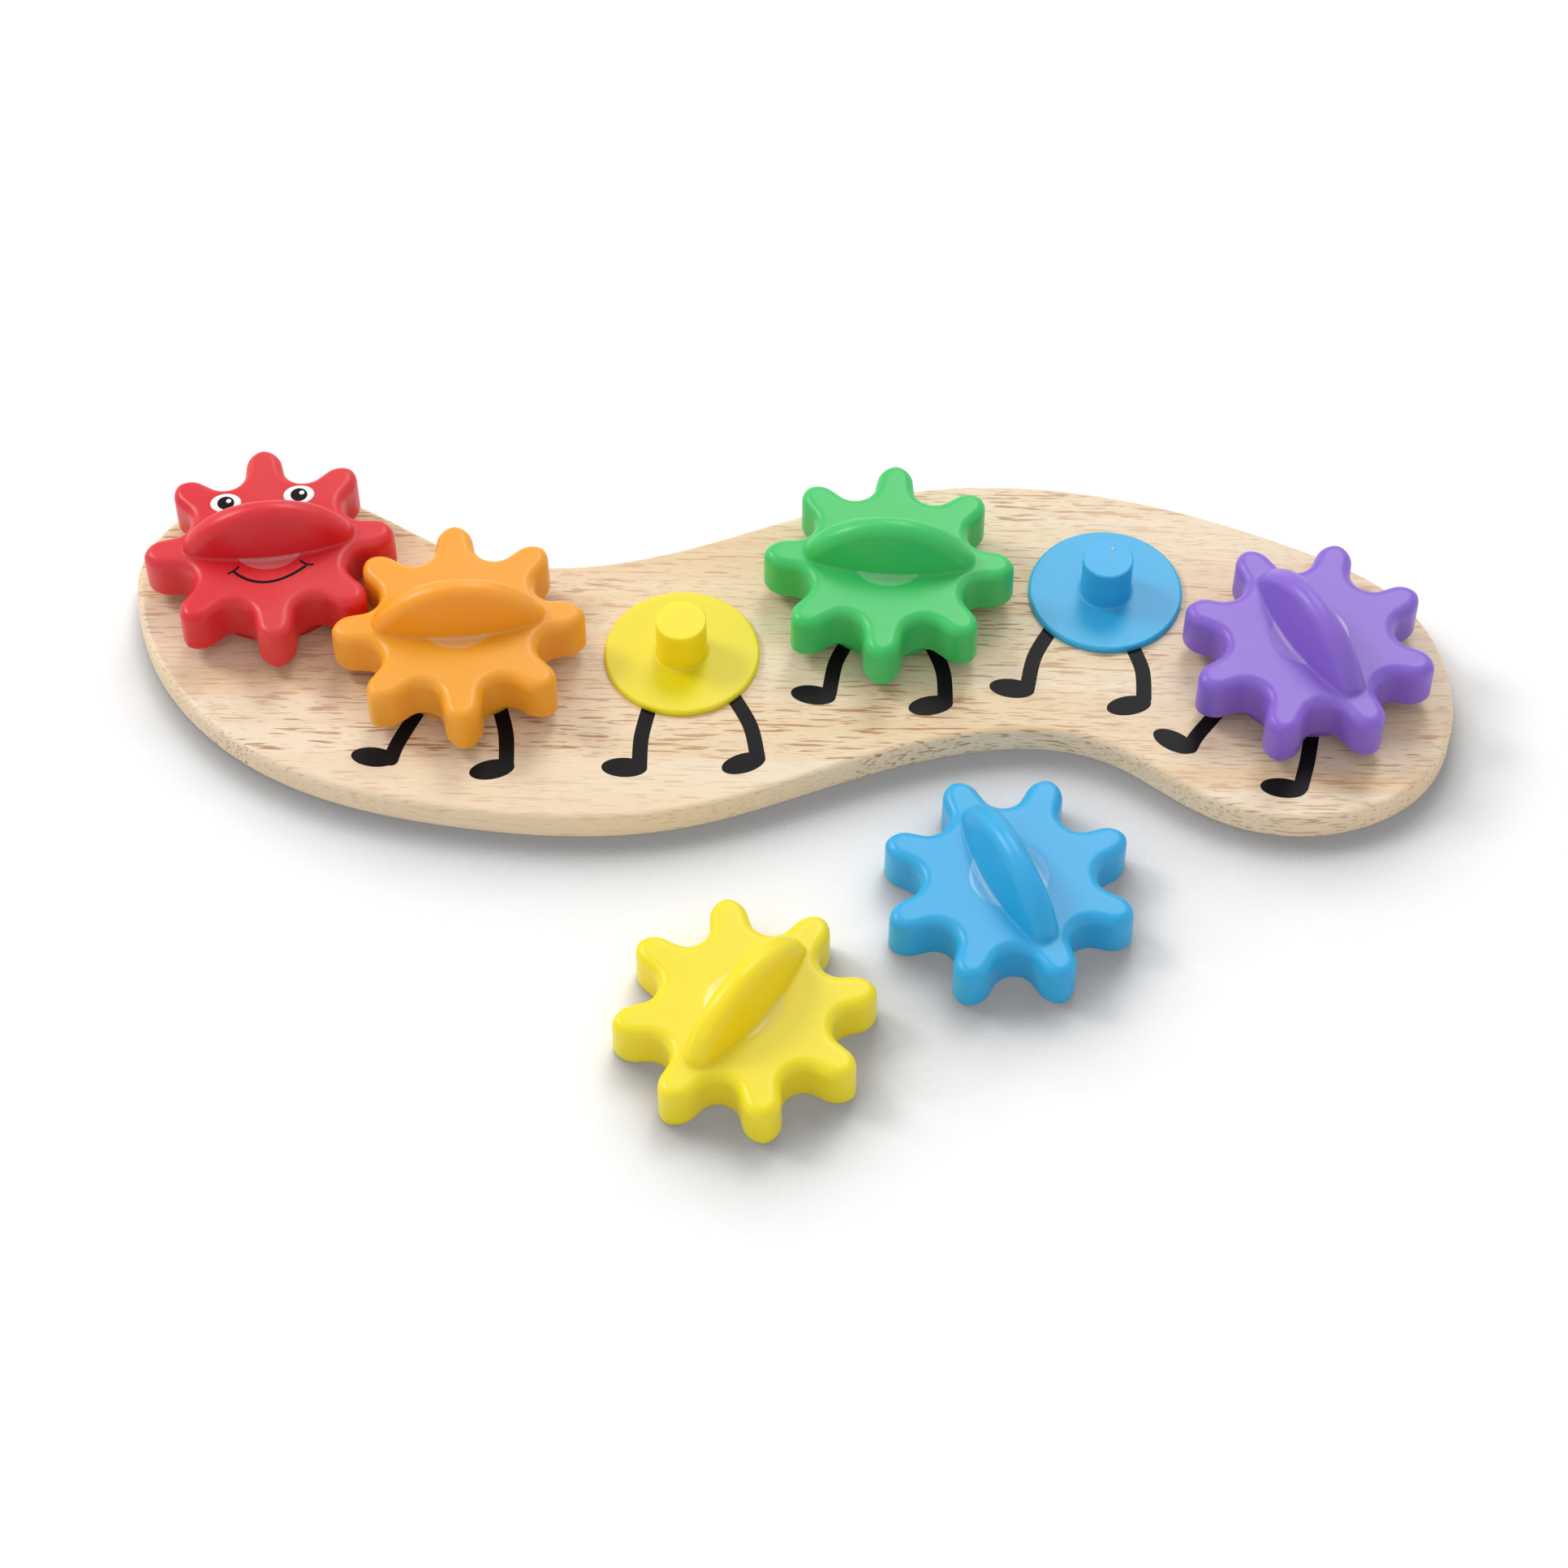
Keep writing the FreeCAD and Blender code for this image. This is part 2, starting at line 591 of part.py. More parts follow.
def hub_places():
    """The X and Y of each hub as expressions, each one pitch on from the one before it."""
    x, y = "Sizes.head_x", "Sizes.head_y"
    places = [(x, y)]
    for number in range(1, len(HUB_COLOURS)):
        x += " + Sizes.hub_pitch * cos(Sizes.link_%d_angle)" % number
        y += " + Sizes.hub_pitch * sin(Sizes.link_%d_angle)" % number
        places.append((x, y))
    return places


def put(doc, name, master, x, y, z="0", turn="0"):
    """Place one more copy of a master shape, turned about Z."""
    copy = doc.addObject("Part::Compound", name)
    copy.Links = [master]
    bind(
        copy, Placement__Base__x=x, Placement__Base__y=y, Placement__Base__z=z,
        Placement__Rotation__Angle=turn)
    return copy


def group(doc, name, members):
    compound = doc.addObject("Part::Compound", name)
    compound.Links = members
    return compound


def board_edge_points(hubs, value):
    """The points that the board's edge runs through, each set off from a hub."""
    head, second, third, fourth, fifth, tail = [hub.Placement.Base for hub in hubs]
    offsets = [
        (head, "edge_head_end", 180), (head, "edge_head_corner", 225), (head, "edge_head_front", 270),
        (second, "edge_second_front", 270), (third, "edge_third_front", 270),
        (fourth, "edge_fourth_front", 270), (fifth, "edge_fifth_front", 270),
        (tail, "edge_tail_foot", 235), (tail, "edge_tail_front", 270), (tail, "edge_tail_corner", 315),
        (tail, "edge_tail_end", 0), (tail, "edge_tail_shoulder", 45), (tail, "edge_tail_back", 90),
        (fifth, "edge_fifth_back", 90), (fourth, "edge_fourth_back", 90), (third, "edge_third_back", 90),
        (second, "edge_second_back", 90), (head, "edge_head_back", 90), (head, "edge_head_crown", 135)]
    points = []
    for hub, name, bearing in offsets:
        angle = math.radians(bearing)
        away = FreeCAD.Vector(math.cos(angle), math.sin(angle), 0) * value(name)
        points.append(FreeCAD.Vector(hub.x, hub.y, 0) + away)
    return points


def make_board(doc, value, hubs, places):
    """The board as glued up and sawn out, with rounded edges and the six screw holes."""
    curve = Part.BSplineCurve()
    curve.interpolate(Points=board_edge_points(hubs, value), PeriodicFlag=True)
    outline = doc.addObject("Part::Feature", "board_outline")
    outline.Shape = Part.Face(Part.Wire([curve.toShape()]))
    blank = doc.addObject("Part::Extrusion", "board_blank")
    blank.Base = outline
    blank.DirMode = "Custom"
    blank.Dir = FreeCAD.Vector(0, 0, 1)
    blank.Solid = True
    bind(blank, LengthFwd="Sizes.board_thick")
    doc.recompute()
    rounded = doc.addObject("Part::Fillet", "board_rounded")
    rounded.Base = blank
    radius = value("board_round")
    thick = value("board_thick")
    edges = enumerate(blank.Shape.Edges, start=1)
    rounded.Edges = [
        (number, radius, radius) for number, edge in edges if lies_at(edge, 0) or lies_at(edge, thick)]
    tool = make_hole_tool(doc)
    holes = [
        put(doc, "screw_hole_%d" % number, tool, x, y)
        for number, (x, y) in enumerate(places, start=1)]
    board = doc.addObject("Part::Cut", "board")
    board.Base = rounded
    board.Tool = group(doc, "screw_holes", holes)
    return board


def make_stave(doc, name, board, left, right, front, back):
    """One of the glued-up boards: what lies between two seams, and between two ends."""
    span = make_primitive(
        doc, "Box", name + "_span", Length="%s - (%s)" % (right, left), Width="%s - (%s)" % (back, front),
        Height="Sizes.board_thick", Placement__Base__x=left, Placement__Base__y=front)
    stave = doc.addObject("Part::Common", name)
    stave.Base = board
    stave.Tool = span
    return stave


def make_staves(doc, board, places):
    """The front seam runs out of the board between two hubs, so the front stave is two pieces."""
    far_left = "Sizes.head_x - 2 * Sizes.hub_pitch"
    far_right = "%s + 2 * Sizes.hub_pitch" % places[-1][0]
    far_front = "Sizes.front_seam_y - 2 * Sizes.hub_pitch"
    far_back = "Sizes.back_seam_y + 2 * Sizes.hub_pitch"
    waist = "(%s + %s) / 2" % (places[3][0], places[4][0])
    front_seam = "Sizes.front_seam_y"
    back_seam = "Sizes.back_seam_y"
    return [
        make_stave(doc, "board_stave_front_left", board, far_left, waist, far_front, front_seam),
        make_stave(doc, "board_stave_front_right", board, waist, far_right, far_front, front_seam),
        make_stave(doc, "board_stave_middle", board, far_left, far_right, front_seam, back_seam),
        make_stave(doc, "board_stave_back", board, far_left, far_right, back_seam, far_back)]


def place_gears(doc, gear, places):
    """Four gears on their pegs, the first two in mesh, and two loose ones on the table."""
    seat = (
        "Sizes.board_thick + Sizes.disc_thick + Sizes.peg_height + Sizes.seat_gap - Sizes.bore_depth")
    tooth_step = "360 / Sizes.tooth_count"
    turns = {name: "Sizes.%s_gear_angle" % name for name in ("red", "green", "purple", "yellow", "blue")}
    turns["orange"] = "180 + 2 * Sizes.link_1_angle - Sizes.red_gear_angle - 5 / 2 * " + tooth_step
    gears = []
    for colour in SEATED_GEARS:
        x, y = places[HUB_COLOURS.index(colour)]
        gears.append(put(doc, colour + "_gear", gear, x, y, seat, turns[colour]))
    for colour in LOOSE_GEARS:
        x, y = "Sizes.loose_%s_x" % colour, "Sizes.loose_%s_y" % colour
        gears.append(put(doc, colour + "_gear", gear, x, y, "0", turns[colour]))
    return gears


def check(doc, parts):
    for thing in doc.Objects:
        if "Invalid" in thing.State or "Error" in thing.State:
            raise RuntimeError("%s failed: %s" % (thing.Name, thing.State))
    for part in parts:
        if part.Shape.isNull() or not part.Shape.isValid() or not part.Shape.Solids:
            raise RuntimeError("%s has no valid solid" % part.Label)


def main():
    doc = FreeCAD.newDocument("gear_toy")
    sheet = make_sheet(doc)
    value = sheet.get
    places = hub_places()
    hub_master = make_hub(doc)
    screw_master = make_screw(doc)
    gear_master = make_gear(doc, value)
    hubs = [
        put(doc, colour + "_hub", hub_master, x, y, "Sizes.board_thick")
        for colour, (x, y) in zip(HUB_COLOURS, places)]
    screws = [
        put(doc, "screw_%d" % number, screw_master, x, y)
        for number, (x, y) in enumerate(places, start=1)]
    gears = place_gears(doc, gear_master, places)
    doc.recompute()
    board = make_board(doc, value, hubs, places)
    parts = make_staves(doc, board, places) + hubs + [group(doc, "hub_screws", screws)] + gears
    doc.recompute()
    check(doc, parts)
    os.makedirs("parts", exist_ok=True)
    for part in parts:
        part.Shape.exportStep("parts/%s.step" % part.Label)
        print("%-24s %d solid(s) %10.1f mm3" % (part.Label, len(part.Shape.Solids), part.Shape.Volume))


main()
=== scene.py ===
import json
import math

import bmesh
import bpy
from bpy.props import FloatProperty, FloatVectorProperty, IntProperty, PointerProperty
from mathutils import Matrix, Vector
from mathutils.bvhtree import BVHTree


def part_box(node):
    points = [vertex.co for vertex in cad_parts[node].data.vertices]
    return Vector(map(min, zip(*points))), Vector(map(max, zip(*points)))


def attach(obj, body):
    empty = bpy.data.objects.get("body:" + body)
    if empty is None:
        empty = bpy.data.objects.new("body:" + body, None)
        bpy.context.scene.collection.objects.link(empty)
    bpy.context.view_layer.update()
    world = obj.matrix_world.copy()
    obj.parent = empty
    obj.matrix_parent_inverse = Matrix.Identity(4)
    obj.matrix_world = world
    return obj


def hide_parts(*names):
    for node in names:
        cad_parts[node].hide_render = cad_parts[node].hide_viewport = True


bl_info = {
    "name": "Wavy gear board",
    "version": (1, 0, 0),
    "blender": (4, 5, 0),
    "location": "3D View > Sidebar > Gear board",
    "description": "Dresses a wooden board toy with hubs and toothed gears",
    "category": "Object",
}

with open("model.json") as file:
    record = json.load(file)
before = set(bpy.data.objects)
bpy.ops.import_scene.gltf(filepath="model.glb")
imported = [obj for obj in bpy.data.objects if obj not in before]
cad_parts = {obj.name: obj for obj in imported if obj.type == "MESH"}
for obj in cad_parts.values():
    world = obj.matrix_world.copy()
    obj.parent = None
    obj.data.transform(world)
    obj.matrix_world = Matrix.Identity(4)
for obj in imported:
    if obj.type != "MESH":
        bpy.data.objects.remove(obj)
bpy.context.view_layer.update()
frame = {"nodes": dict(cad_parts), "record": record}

# Metres in a millimetre, and back
MM = 0.001
IN_MM = 1 / MM
COLOURS = ("red", "orange", "yellow", "green", "blue", "purple")

# Each stave: where in the grain it is cut, how warm it is and how many pores show
STAVES = {
    "board_stave_front_left": ((0.7, 0.3, 0.1), 0.35, 0.35),
    "board_stave_front_right": ((1.9, 0.6, 0.2), 0.8, 0.6),
    "board_stave_middle": ((0.0, 0.0, 0.0), 0.6, 0.85),
    "board_stave_back": ((2.6, 0.9, 0.5), 0.7, 0.75)}

# How far each gear is turned about its axis, in degrees
GEAR_TURNS = {
    "red": 8.5, "orange": 6.2, "yellow": 55.1, "green": -3.1, "blue": -64.55, "purple": -61.35}


def length(name, description, default):
    return FloatProperty(
        name=name, description=description, default=default, unit="LENGTH", precision=5)


def point(name, description, default):
    return FloatVectorProperty(
        name=name, description=description, default=default, size=3, subtype="TRANSLATION",
        unit="LENGTH", precision=5)


def colour(name, description, red, green, blue):
    """A colour given as it shows on a screen, from 0 to 255, and kept as linear light."""
    shares = [linear(level / 255) for level in (red, green, blue)]
    return FloatVectorProperty(
        name=name, description=description, default=shares, size=3, subtype="COLOR", min=0, max=1)


def linear(level):
    if level <= 0.04045:
        return level / 12.92
    return ((level + 0.055) / 1.055) ** 2.4


class GearSizes(bpy.types.PropertyGroup):
    """The moulded gear, measured in its own frame: underside at zero, one tooth and the grip along X"""

    tooth_count: IntProperty(name="Teeth", description="Number of teeth", default=8, min=3)
    rim: length("Rim", "Radius over the teeth at the underside", 0.0375)
    thick: length("Thickness", "From the underside to the face", 0.0147)
    root: length("Root", "Radius at the bottom of a gap", 0.0253)
    valley: length("Valley", "Radius of the round bottom of a gap", 0.00613)
    flank: FloatProperty(
        name="Flank", description="How far a flank leans towards the tooth", default=math.radians(7.25),
        unit="ROTATION")
    tip_round: length("Tip round", "Radius of a tooth's standing corners", 0.0053)
    face_round: length("Face round", "Radius of the edge round the face", 0.0031)
    foot_round: length("Foot round", "Radius of the edge round the underside", 0.0006)
    draft: length("Draft", "How much smaller the face is than the underside, all round", 0.0001)
    side_wall: length("Side wall", "Thickness of the toothed wall", 0.0028)
    top_wall: length("Top wall", "Thickness of the face", 0.003)
    bore: length("Bore", "Radius of the bore for the peg", 0.0079)
    bore_depth: length("Bore depth", "Depth of the bore", 0.0123)
    bore_chamfer: length("Bore chamfer", "Chamfer at the bore's mouth", 0.0005)
    boss_wall: length("Boss wall", "Wall of the boss round the bore", 0.0025)
    rib: length("Rib", "Thickness of the ribs underneath", 0.002)
    rib_recess: length("Rib recess", "How far the ribs stop short of the underside", 0.0015)
    dish: length("Dish", "Radius of the polished dish in the face", 0.0117)
    dish_depth: length("Dish depth", "Depth of the dish", 0.0007)
    dish_soft: length("Dish edge", "Softness of the dish's rim", 0.0003)
    grip_length: length("Grip length", "Half of the grip's length along its foot", 0.0264)
    grip_foot: length("Grip foot", "Half of the grip's thickness at its foot", 0.0076)
    grip_crown: length("Grip crown", "Half of the grip's thickness at its crest", 0.0031)
    grip_rise: length("Grip rise", "Height of the crest above the face", 0.0158)
    foot_end: length("Foot end", "Radius of the grip's two ends at its foot", 0.0038)
    crown_end: length("Crown end", "Radius of the grip's two ends at its crest", 0.0024)
    crest_round: length("Crest round", "Radius of the edge along the crest", 0.0029)
    junction: length("Junction", "Softness of the line where the grip leaves the face", 0.0009)
    grain: length("Grain", "Size of the cells that the surface is built from", 0.0005)


class Field:
    """A number that varies from point to point, worked out by Math nodes."""

    def __init__(self, tree, socket):
        self.tree = tree
        self.socket = socket

    def join(self, operation, *others):
        node = self.tree.nodes.new("ShaderNodeMath")
        node.operation = operation
        for socket, value in zip(node.inputs, (self,) + others):
            if isinstance(value, Field):
                self.tree.links.new(value.socket, socket)
            else:
                socket.default_value = value
        return Field(self.tree, node.outputs[0])

    def __add__(self, other):
        return self.join("ADD", other)

    def __sub__(self, other):
        return self.join("SUBTRACT", other)

    def __mul__(self, other):
        return self.join("MULTIPLY", other)

    def __truediv__(self, other):
        return self.join("DIVIDE", other)

    def __neg__(self):
        return self.join("MULTIPLY", -1.0)

    def least(self, other, soft=None):
        return self.join("MINIMUM", other) if soft is None else self.join("SMOOTH_MIN", other, soft)

    def most(self, other, soft=None):
        return self.join("MAXIMUM", other) if soft is None else self.join("SMOOTH_MAX", other, soft)

    def root(self):
        return self.join("SQRT")

    def sine(self):
        return self.join("SINE")

    def cosine(self):
        return self.join("COSINE")


def across(one, other):
    """The long side of a right triangle on two shorter ones."""
    return (one * one + other * other).root()


def meet(one, other, soft):
    """Where two shapes overlap, with the edge between them rounded."""
    one = one + soft
    other = other + soft
    outside = across(one.most(0.0), other.most(0.0))
    return outside + one.most(other).least(0.0) - soft


def gear_tree(sizes):
    """A gear as the surface where a distance is zero, then turned and put in its place."""
    tree = bpy.data.node_groups.new("moulded gear", "GeometryNodeTree")
    tree.interface.new_socket("Geometry", in_out="OUTPUT", socket_type="NodeSocketGeometry")
    entry = tree.nodes.new("NodeGroupInput")
    titles = {name: kind.keywords["name"] for name, kind in GearSizes.__annotations__.items()}
    for name, title in titles.items():
        value = getattr(sizes, name)
        kind = "NodeSocketInt" if isinstance(value, int) else "NodeSocketFloat"
        tree.interface.new_socket(title, in_out="INPUT", socket_type=kind).default_value = value
    tree.interface.new_socket("Turn", in_out="INPUT", socket_type="NodeSocketVector")
    tree.interface.new_socket("Seat", in_out="INPUT", socket_type="NodeSocketVector")
    tree.interface.new_socket("Finish", in_out="INPUT", socket_type="NodeSocketMaterial")
    g = {name: Field(tree, entry.outputs[title]) for name, title in titles.items()}

    position = tree.nodes.new("GeometryNodeInputPosition")
    parts = tree.nodes.new("ShaderNodeSeparateXYZ")
    tree.links.new(position.outputs[0], parts.inputs[0])
    x, y, z = [Field(tree, parts.outputs[number]) for number in range(3)]

    # one tooth and one gap, folded round the axis: a round valley whose flanks lean apart
    out = across(x, y)
    half_pitch = Field(tree, g["tooth_count"].socket).join("POWER", -1.0) * math.pi
    from_gap = half_pitch - y.join("ARCTAN2", x).join("PINGPONG", half_pitch)
    u = out * from_gap.cosine() - (g["root"] + g["valley"])
    v = out * from_gap.sine()
    lean = half_pitch + g["flank"]
    rise, run = lean.sine(), lean.cosine()
    along = (u * run + v * rise).most(0.0)
    beside = (v * run - u * rise).join("SIGN")
    flank = g["valley"] - across(u - along * run, v - along * rise) * beside
    outline = meet(out - g["rim"], flank, g["tip_round"]) + g["draft"] * z / g["thick"]

    body = meet(outline, z - g["thick"], g["face_round"]).most(meet(outline, -z, g["foot_round"]))
    ball = (g["dish"] * g["dish"] + g["dish_depth"] * g["dish_depth"]) / (g["dish_depth"] * 2.0)
    hollow = ball - across(out, z - (g["thick"] - g["dish_depth"] + ball))
    body = body.most(hollow, g["dish_soft"])

    # the grip: a pointed oval that narrows upwards, under a round crest
    base = g["thick"] - g["dish_depth"]
    share = (z - base) / (g["grip_rise"] + g["dish_depth"])
    share = share.least(1.0)
    end = g["foot_end"] + (g["crown_end"] - g["foot_end"]) * share
    waist = g["grip_foot"] + (g["grip_crown"] - g["grip_foot"]) * share - end
    half = g["grip_length"] - end
    shift = (half * half - waist * waist) / (waist * 2.0)
    ahead = x.join("ABSOLUTE")
    aside = y.join("ABSOLUTE")
    past_tip = ((ahead - half) * shift - aside * half).join("GREATER_THAN", 0.0)
    from_tip = across(ahead - half, aside)
    from_side = across(ahead, aside + shift) - shift - waist
    leaf = from_side + (from_tip - from_side) * past_tip - end
    reach = g["grip_length"]
    arch = (reach * reach + g["grip_rise"] * g["grip_rise"]) / (g["grip_rise"] * 2.0)
    crest = across(x, z - (g["thick"] + g["grip_rise"] - arch)) - arch
    grip = meet(leaf, crest, g["crest_round"]).most(base - z)
    body = body.least(grip, g["junction"])

    # the cored underside, with a boss round the bore and a rib to each gap between teeth
    room = (outline + g["side_wall"]).most(z - (g["thick"] - g["top_wall"]), g["dish_soft"] * 3.0)
    boss = g["bore"] + g["boss_wall"] - out
    rib = (v - g["rib"] * 0.5).most(g["rib_recess"] - z)
    room = room.most(boss).most(-rib)
    mouth = (g["bore_chamfer"] - z).most(0.0)
    bore = (out - g["bore"] - mouth).most(z - g["bore_depth"])
    solid = body.most(-room, g["dish_soft"]).most(-bore)

    margin = sizes.grain * 3
    side = sizes.rim + margin
    top = sizes.thick + sizes.grip_rise + margin
    cube = tree.nodes.new("GeometryNodeVolumeCube")
    tree.links.new((-solid * IN_MM).socket, cube.inputs["Density"])
    cube.inputs["Background"].default_value = -1.0
    cube.inputs["Min"].default_value = (-side, -side, -margin)
    cube.inputs["Max"].default_value = (side, side, top)
    cube.inputs["Resolution X"].default_value = round(2 * side / sizes.grain)
    cube.inputs["Resolution Y"].default_value = round(2 * side / sizes.grain)
    cube.inputs["Resolution Z"].default_value = round((top + margin) / sizes.grain)
    skin = tree.nodes.new("GeometryNodeVolumeToMesh")
    skin.inputs["Threshold"].default_value = 0.0
    tree.links.new(cube.outputs["Volume"], skin.inputs["Volume"])
    place = tree.nodes.new("GeometryNodeTransform")
    tree.links.new(skin.outputs["Mesh"], place.inputs["Geometry"])
    tree.links.new(entry.outputs["Turn"], place.inputs["Rotation"])
    tree.links.new(entry.outputs["Seat"], place.inputs["Translation"])
    smooth = tree.nodes.new("GeometryNodeSetShadeSmooth")
    tree.links.new(place.outputs["Geometry"], smooth.inputs["Geometry"])
    finish_tree(tree, entry, smooth.outputs["Geometry"])
    return tree


def finish_tree(tree, entry, geometry):
    real = tree.nodes.new("GeometryNodeRealizeInstances")
    paint = tree.nodes.new("GeometryNodeSetMaterial")
    leave = tree.nodes.new("NodeGroupOutput")
    tree.links.new(geometry, real.inputs["Geometry"])
    tree.links.new(real.outputs["Geometry"], paint.inputs["Geometry"])
    tree.links.new(entry.outputs["Finish"], paint.inputs["Material"])
    tree.links.new(paint.outputs["Geometry"], leave.inputs[0])


def grow(name, tree, source=None, **values):
    """Run a Geometry Nodes tree once and keep its result as a plain mesh object."""
    holder = bpy.data.objects.new(name + "_source", source or bpy.data.meshes.new(name + "_source"))
    bpy.context.scene.collection.objects.link(holder)
    modifier = holder.modifiers.new("grow", "NODES")
    modifier.node_group = tree
    for item in tree.interface.items_tree:
        if item.in_out == "INPUT" and item.name in values:
            modifier[item.identifier] = values[item.name]
    graph = bpy.context.evaluated_depsgraph_get()
    mesh = bpy.data.meshes.new_from_object(holder.evaluated_get(graph), depsgraph=graph)
    mesh.name = name
    bpy.data.objects.remove(holder)
    if not mesh.polygons:
        raise RuntimeError(name + " came out empty")
    piece = bpy.data.objects.new(name, mesh)
    bpy.context.scene.collection.objects.link(piece)
    mesh.polygons.foreach_set("material_index", [0] * len(mesh.polygons))
    paint(piece, values["Finish"])
    return piece


class WoodColours(bpy.types.PropertyGroup):
    """The pale, pored wood of the board"""

    pale: colour("Pale", "The lightest bands of the wood", 240, 224, 198)
    warm: colour("Warm", "The darker bands of the wood", 228, 196, 152)
    pore: colour("Pores", "The short dashes of the open pores", 178, 124, 82)
    rim: colour("Rim", "The sawn and sanded edge of the board", 243, 219, 184)


class PlasticColours(bpy.types.PropertyGroup):
    """The moulding colours, each shared by a hub and the gear that belongs on it"""

    red: colour("Red", "Colour of the first hub and gear", 218, 24, 36)
    orange: colour("Orange", "Colour of the second hub and gear", 248, 164, 26)
    yellow: colour("Yellow", "Colour of the third hub and gear", 253, 224, 2)
    green: colour("Green", "Colour of the fourth hub and gear", 56, 196, 100)
    blue: colour("Blue", "Colour of the fifth hub and gear", 34, 172, 226)
    purple: colour("Purple", "Colour of the sixth hub and gear", 138, 100, 206)


class PrintSizes(bpy.types.PropertyGroup):
    """The small marks: what is printed on the board and the first gear, and the pale dot on the blue peg
    that is a painted glint
    """

    leg_width: length("Leg width", "Width of a printed leg", 0.0045)
    foot_length: length("Foot length", "Length of a printed foot", 0.0134)
    foot_width: length("Foot width", "Width of a printed foot", 0.007)
    ink_depth: length("Ink depth", "Thickness of the film of ink, half of it soaked in", 0.00012)
    eye_length: length("Eye length", "Half of the white of an eye, along the gear's X", 0.00465)
    eye_width: length("Eye width", "Half of the white of an eye, across it", 0.00365)
    pupil: length("Pupil", "Radius of a pupil", 0.00255)
    glint: length("Glint", "Radius of the white dot in a pupil", 0.00078)
    smile_width: length("Smile width", "Width of the line of the smile", 0.0009)
    # The blue peg's pale dot stands in for a glint: a painted highlight on a small raised bump.
    gate_mark: length("Painted glint dot", "Radius of the moulding mark on the blue peg", 0.00055)
    painted_glint_colour: colour("Painted glint colour", "The pale plastic of that mark", 226, 244, 250)
    ink: colour("Ink", "The black ink", 20, 17, 19)
    white: colour("White", "The white ink", 250, 249, 247)


class StageSizes(bpy.types.PropertyGroup):
    """The camera, the floor and the lamps"""

    aim: point("Aim", "The point that the camera looks at", (-0.00015, -0.0437, 0.0))
    distance: length("Distance", "From the camera to the point it looks at", 1.18494)
    lens: FloatProperty(name="Lens", description="Focal length in millimetres", default=92.43)
    rise: FloatProperty(
        name="Rise", description="How high the camera stands", default=0.924977, unit="ROTATION")
    swing: FloatProperty(
        name="Swing", description="How far the camera stands round to the right",
        default=math.radians(1.4), unit="ROTATION")
    roll: FloatProperty(
        name="Roll", description="Turn about the line of sight", default=-0.0022, unit="ROTATION")
    floor: colour("Floor", "The floor and the backdrop", 238, 238, 238)
    # floor shade, shade full, shade reach and shade from set the painted shadow on the floor round the
    # toy
    floor_shade: colour("Floor shade", "The floor right under and against the toy", 104, 104, 105)
    shade_full: FloatProperty(
        name="Shade full", description="How open the view past the toy is where the floor is darkest",
        default=0.42)
    shade_reach: length("Shade reach", "How far round the toy the floor darkens", 0.05)
    floor_half: length("Floor half", "Half of the floor's side", 6.0)
    floor_gap: length(
        "Floor gap", "How far under the toy the floor lies, so that the two never mix", 0.00005)
    shade_from: FloatVectorProperty(
        name="Shade from", description="The side on which something darkens the floor beside it",
        default=(-0.25, 0.77, 0.58), size=3, subtype="DIRECTION")
    floor_lift: FloatProperty(
        name="Floor lift", description="How much whiter the floor looks to the camera", default=0.18)
    sky: FloatProperty(name="Sky", description="Strength of the light from all round", default=0.64)
    key: FloatProperty(
        name="Key", description="Power of the high lamp at the left, which throws the shadows",
        default=28.0, unit="POWER")
    key_spot: point("Key place", "Where that lamp hangs", (-1.9, 0.9, 1.9))
    key_size: length("Key size", "How wide that lamp is", 0.9)
    sheen: FloatProperty(
        name="Sheen", description="Power of the lamp behind, which level faces reflect", default=22.0,
        unit="POWER")
    sheen_spot: point("Sheen place", "Where that lamp hangs", (0.45, 1.8, 2.37))
    sheen_size: length("Sheen size", "How wide that lamp is", 1.2)


def settings(kind):
    return getattr(bpy.context.scene, SETTINGS[kind])


def node_group(name, inputs, outputs):
    """An empty shader node group with named sockets, and the nodes that stand for them."""
    tree = bpy.data.node_groups.new(name, "ShaderNodeTree")
    kinds = {"number": "NodeSocketFloat", "colour": "NodeSocketColor", "place": "NodeSocketVector"}
    for title, kind, value in inputs:
        socket = tree.interface.new_socket(title, in_out="INPUT", socket_type=kinds[kind])
        if value is not None:
            socket.default_value = value
    for title, kind in outputs:
        tree.interface.new_socket(title, in_out="OUTPUT", socket_type=kinds[kind])
    return tree, tree.nodes.new("NodeGroupInput"), tree.nodes.new("NodeGroupOutput")


def stretched_noise(
        tree, place, per_metre, detail=2.0, roughness=0.5, distortion=0.0, offset=(0, 0, 0)):
    """Noise whose grains have their own number per metre along X, Y and Z."""
    mapping = tree.nodes.new("ShaderNodeMapping")
    mapping.inputs["Scale"].default_value = per_metre
    mapping.inputs["Location"].default_value = offset
    noise = tree.nodes.new("ShaderNodeTexNoise")
    noise.inputs["Scale"].default_value = 1.0
    noise.inputs["Detail"].default_value = detail
    noise.inputs["Roughness"].default_value = roughness
    noise.inputs["Distortion"].default_value = distortion
    tree.links.new(place, mapping.inputs["Vector"])
    tree.links.new(mapping.outputs["Vector"], noise.inputs["Vector"])
    return Field(tree, noise.outputs[0])


def ramp(field, start, end, low=0.0, high=1.0):
    """The share of the way from start to end, eased and clamped, as a number from low to high."""
    node = field.tree.nodes.new("ShaderNodeMapRange")
    node.interpolation_type = "SMOOTHSTEP"
    field.tree.links.new(field.socket, node.inputs["Value"])
    node.inputs["From Min"].default_value = start
    node.inputs["From Max"].default_value = end
    node.inputs["To Min"].default_value = low
    node.inputs["To Max"].default_value = high
    return Field(field.tree, node.outputs["Result"])


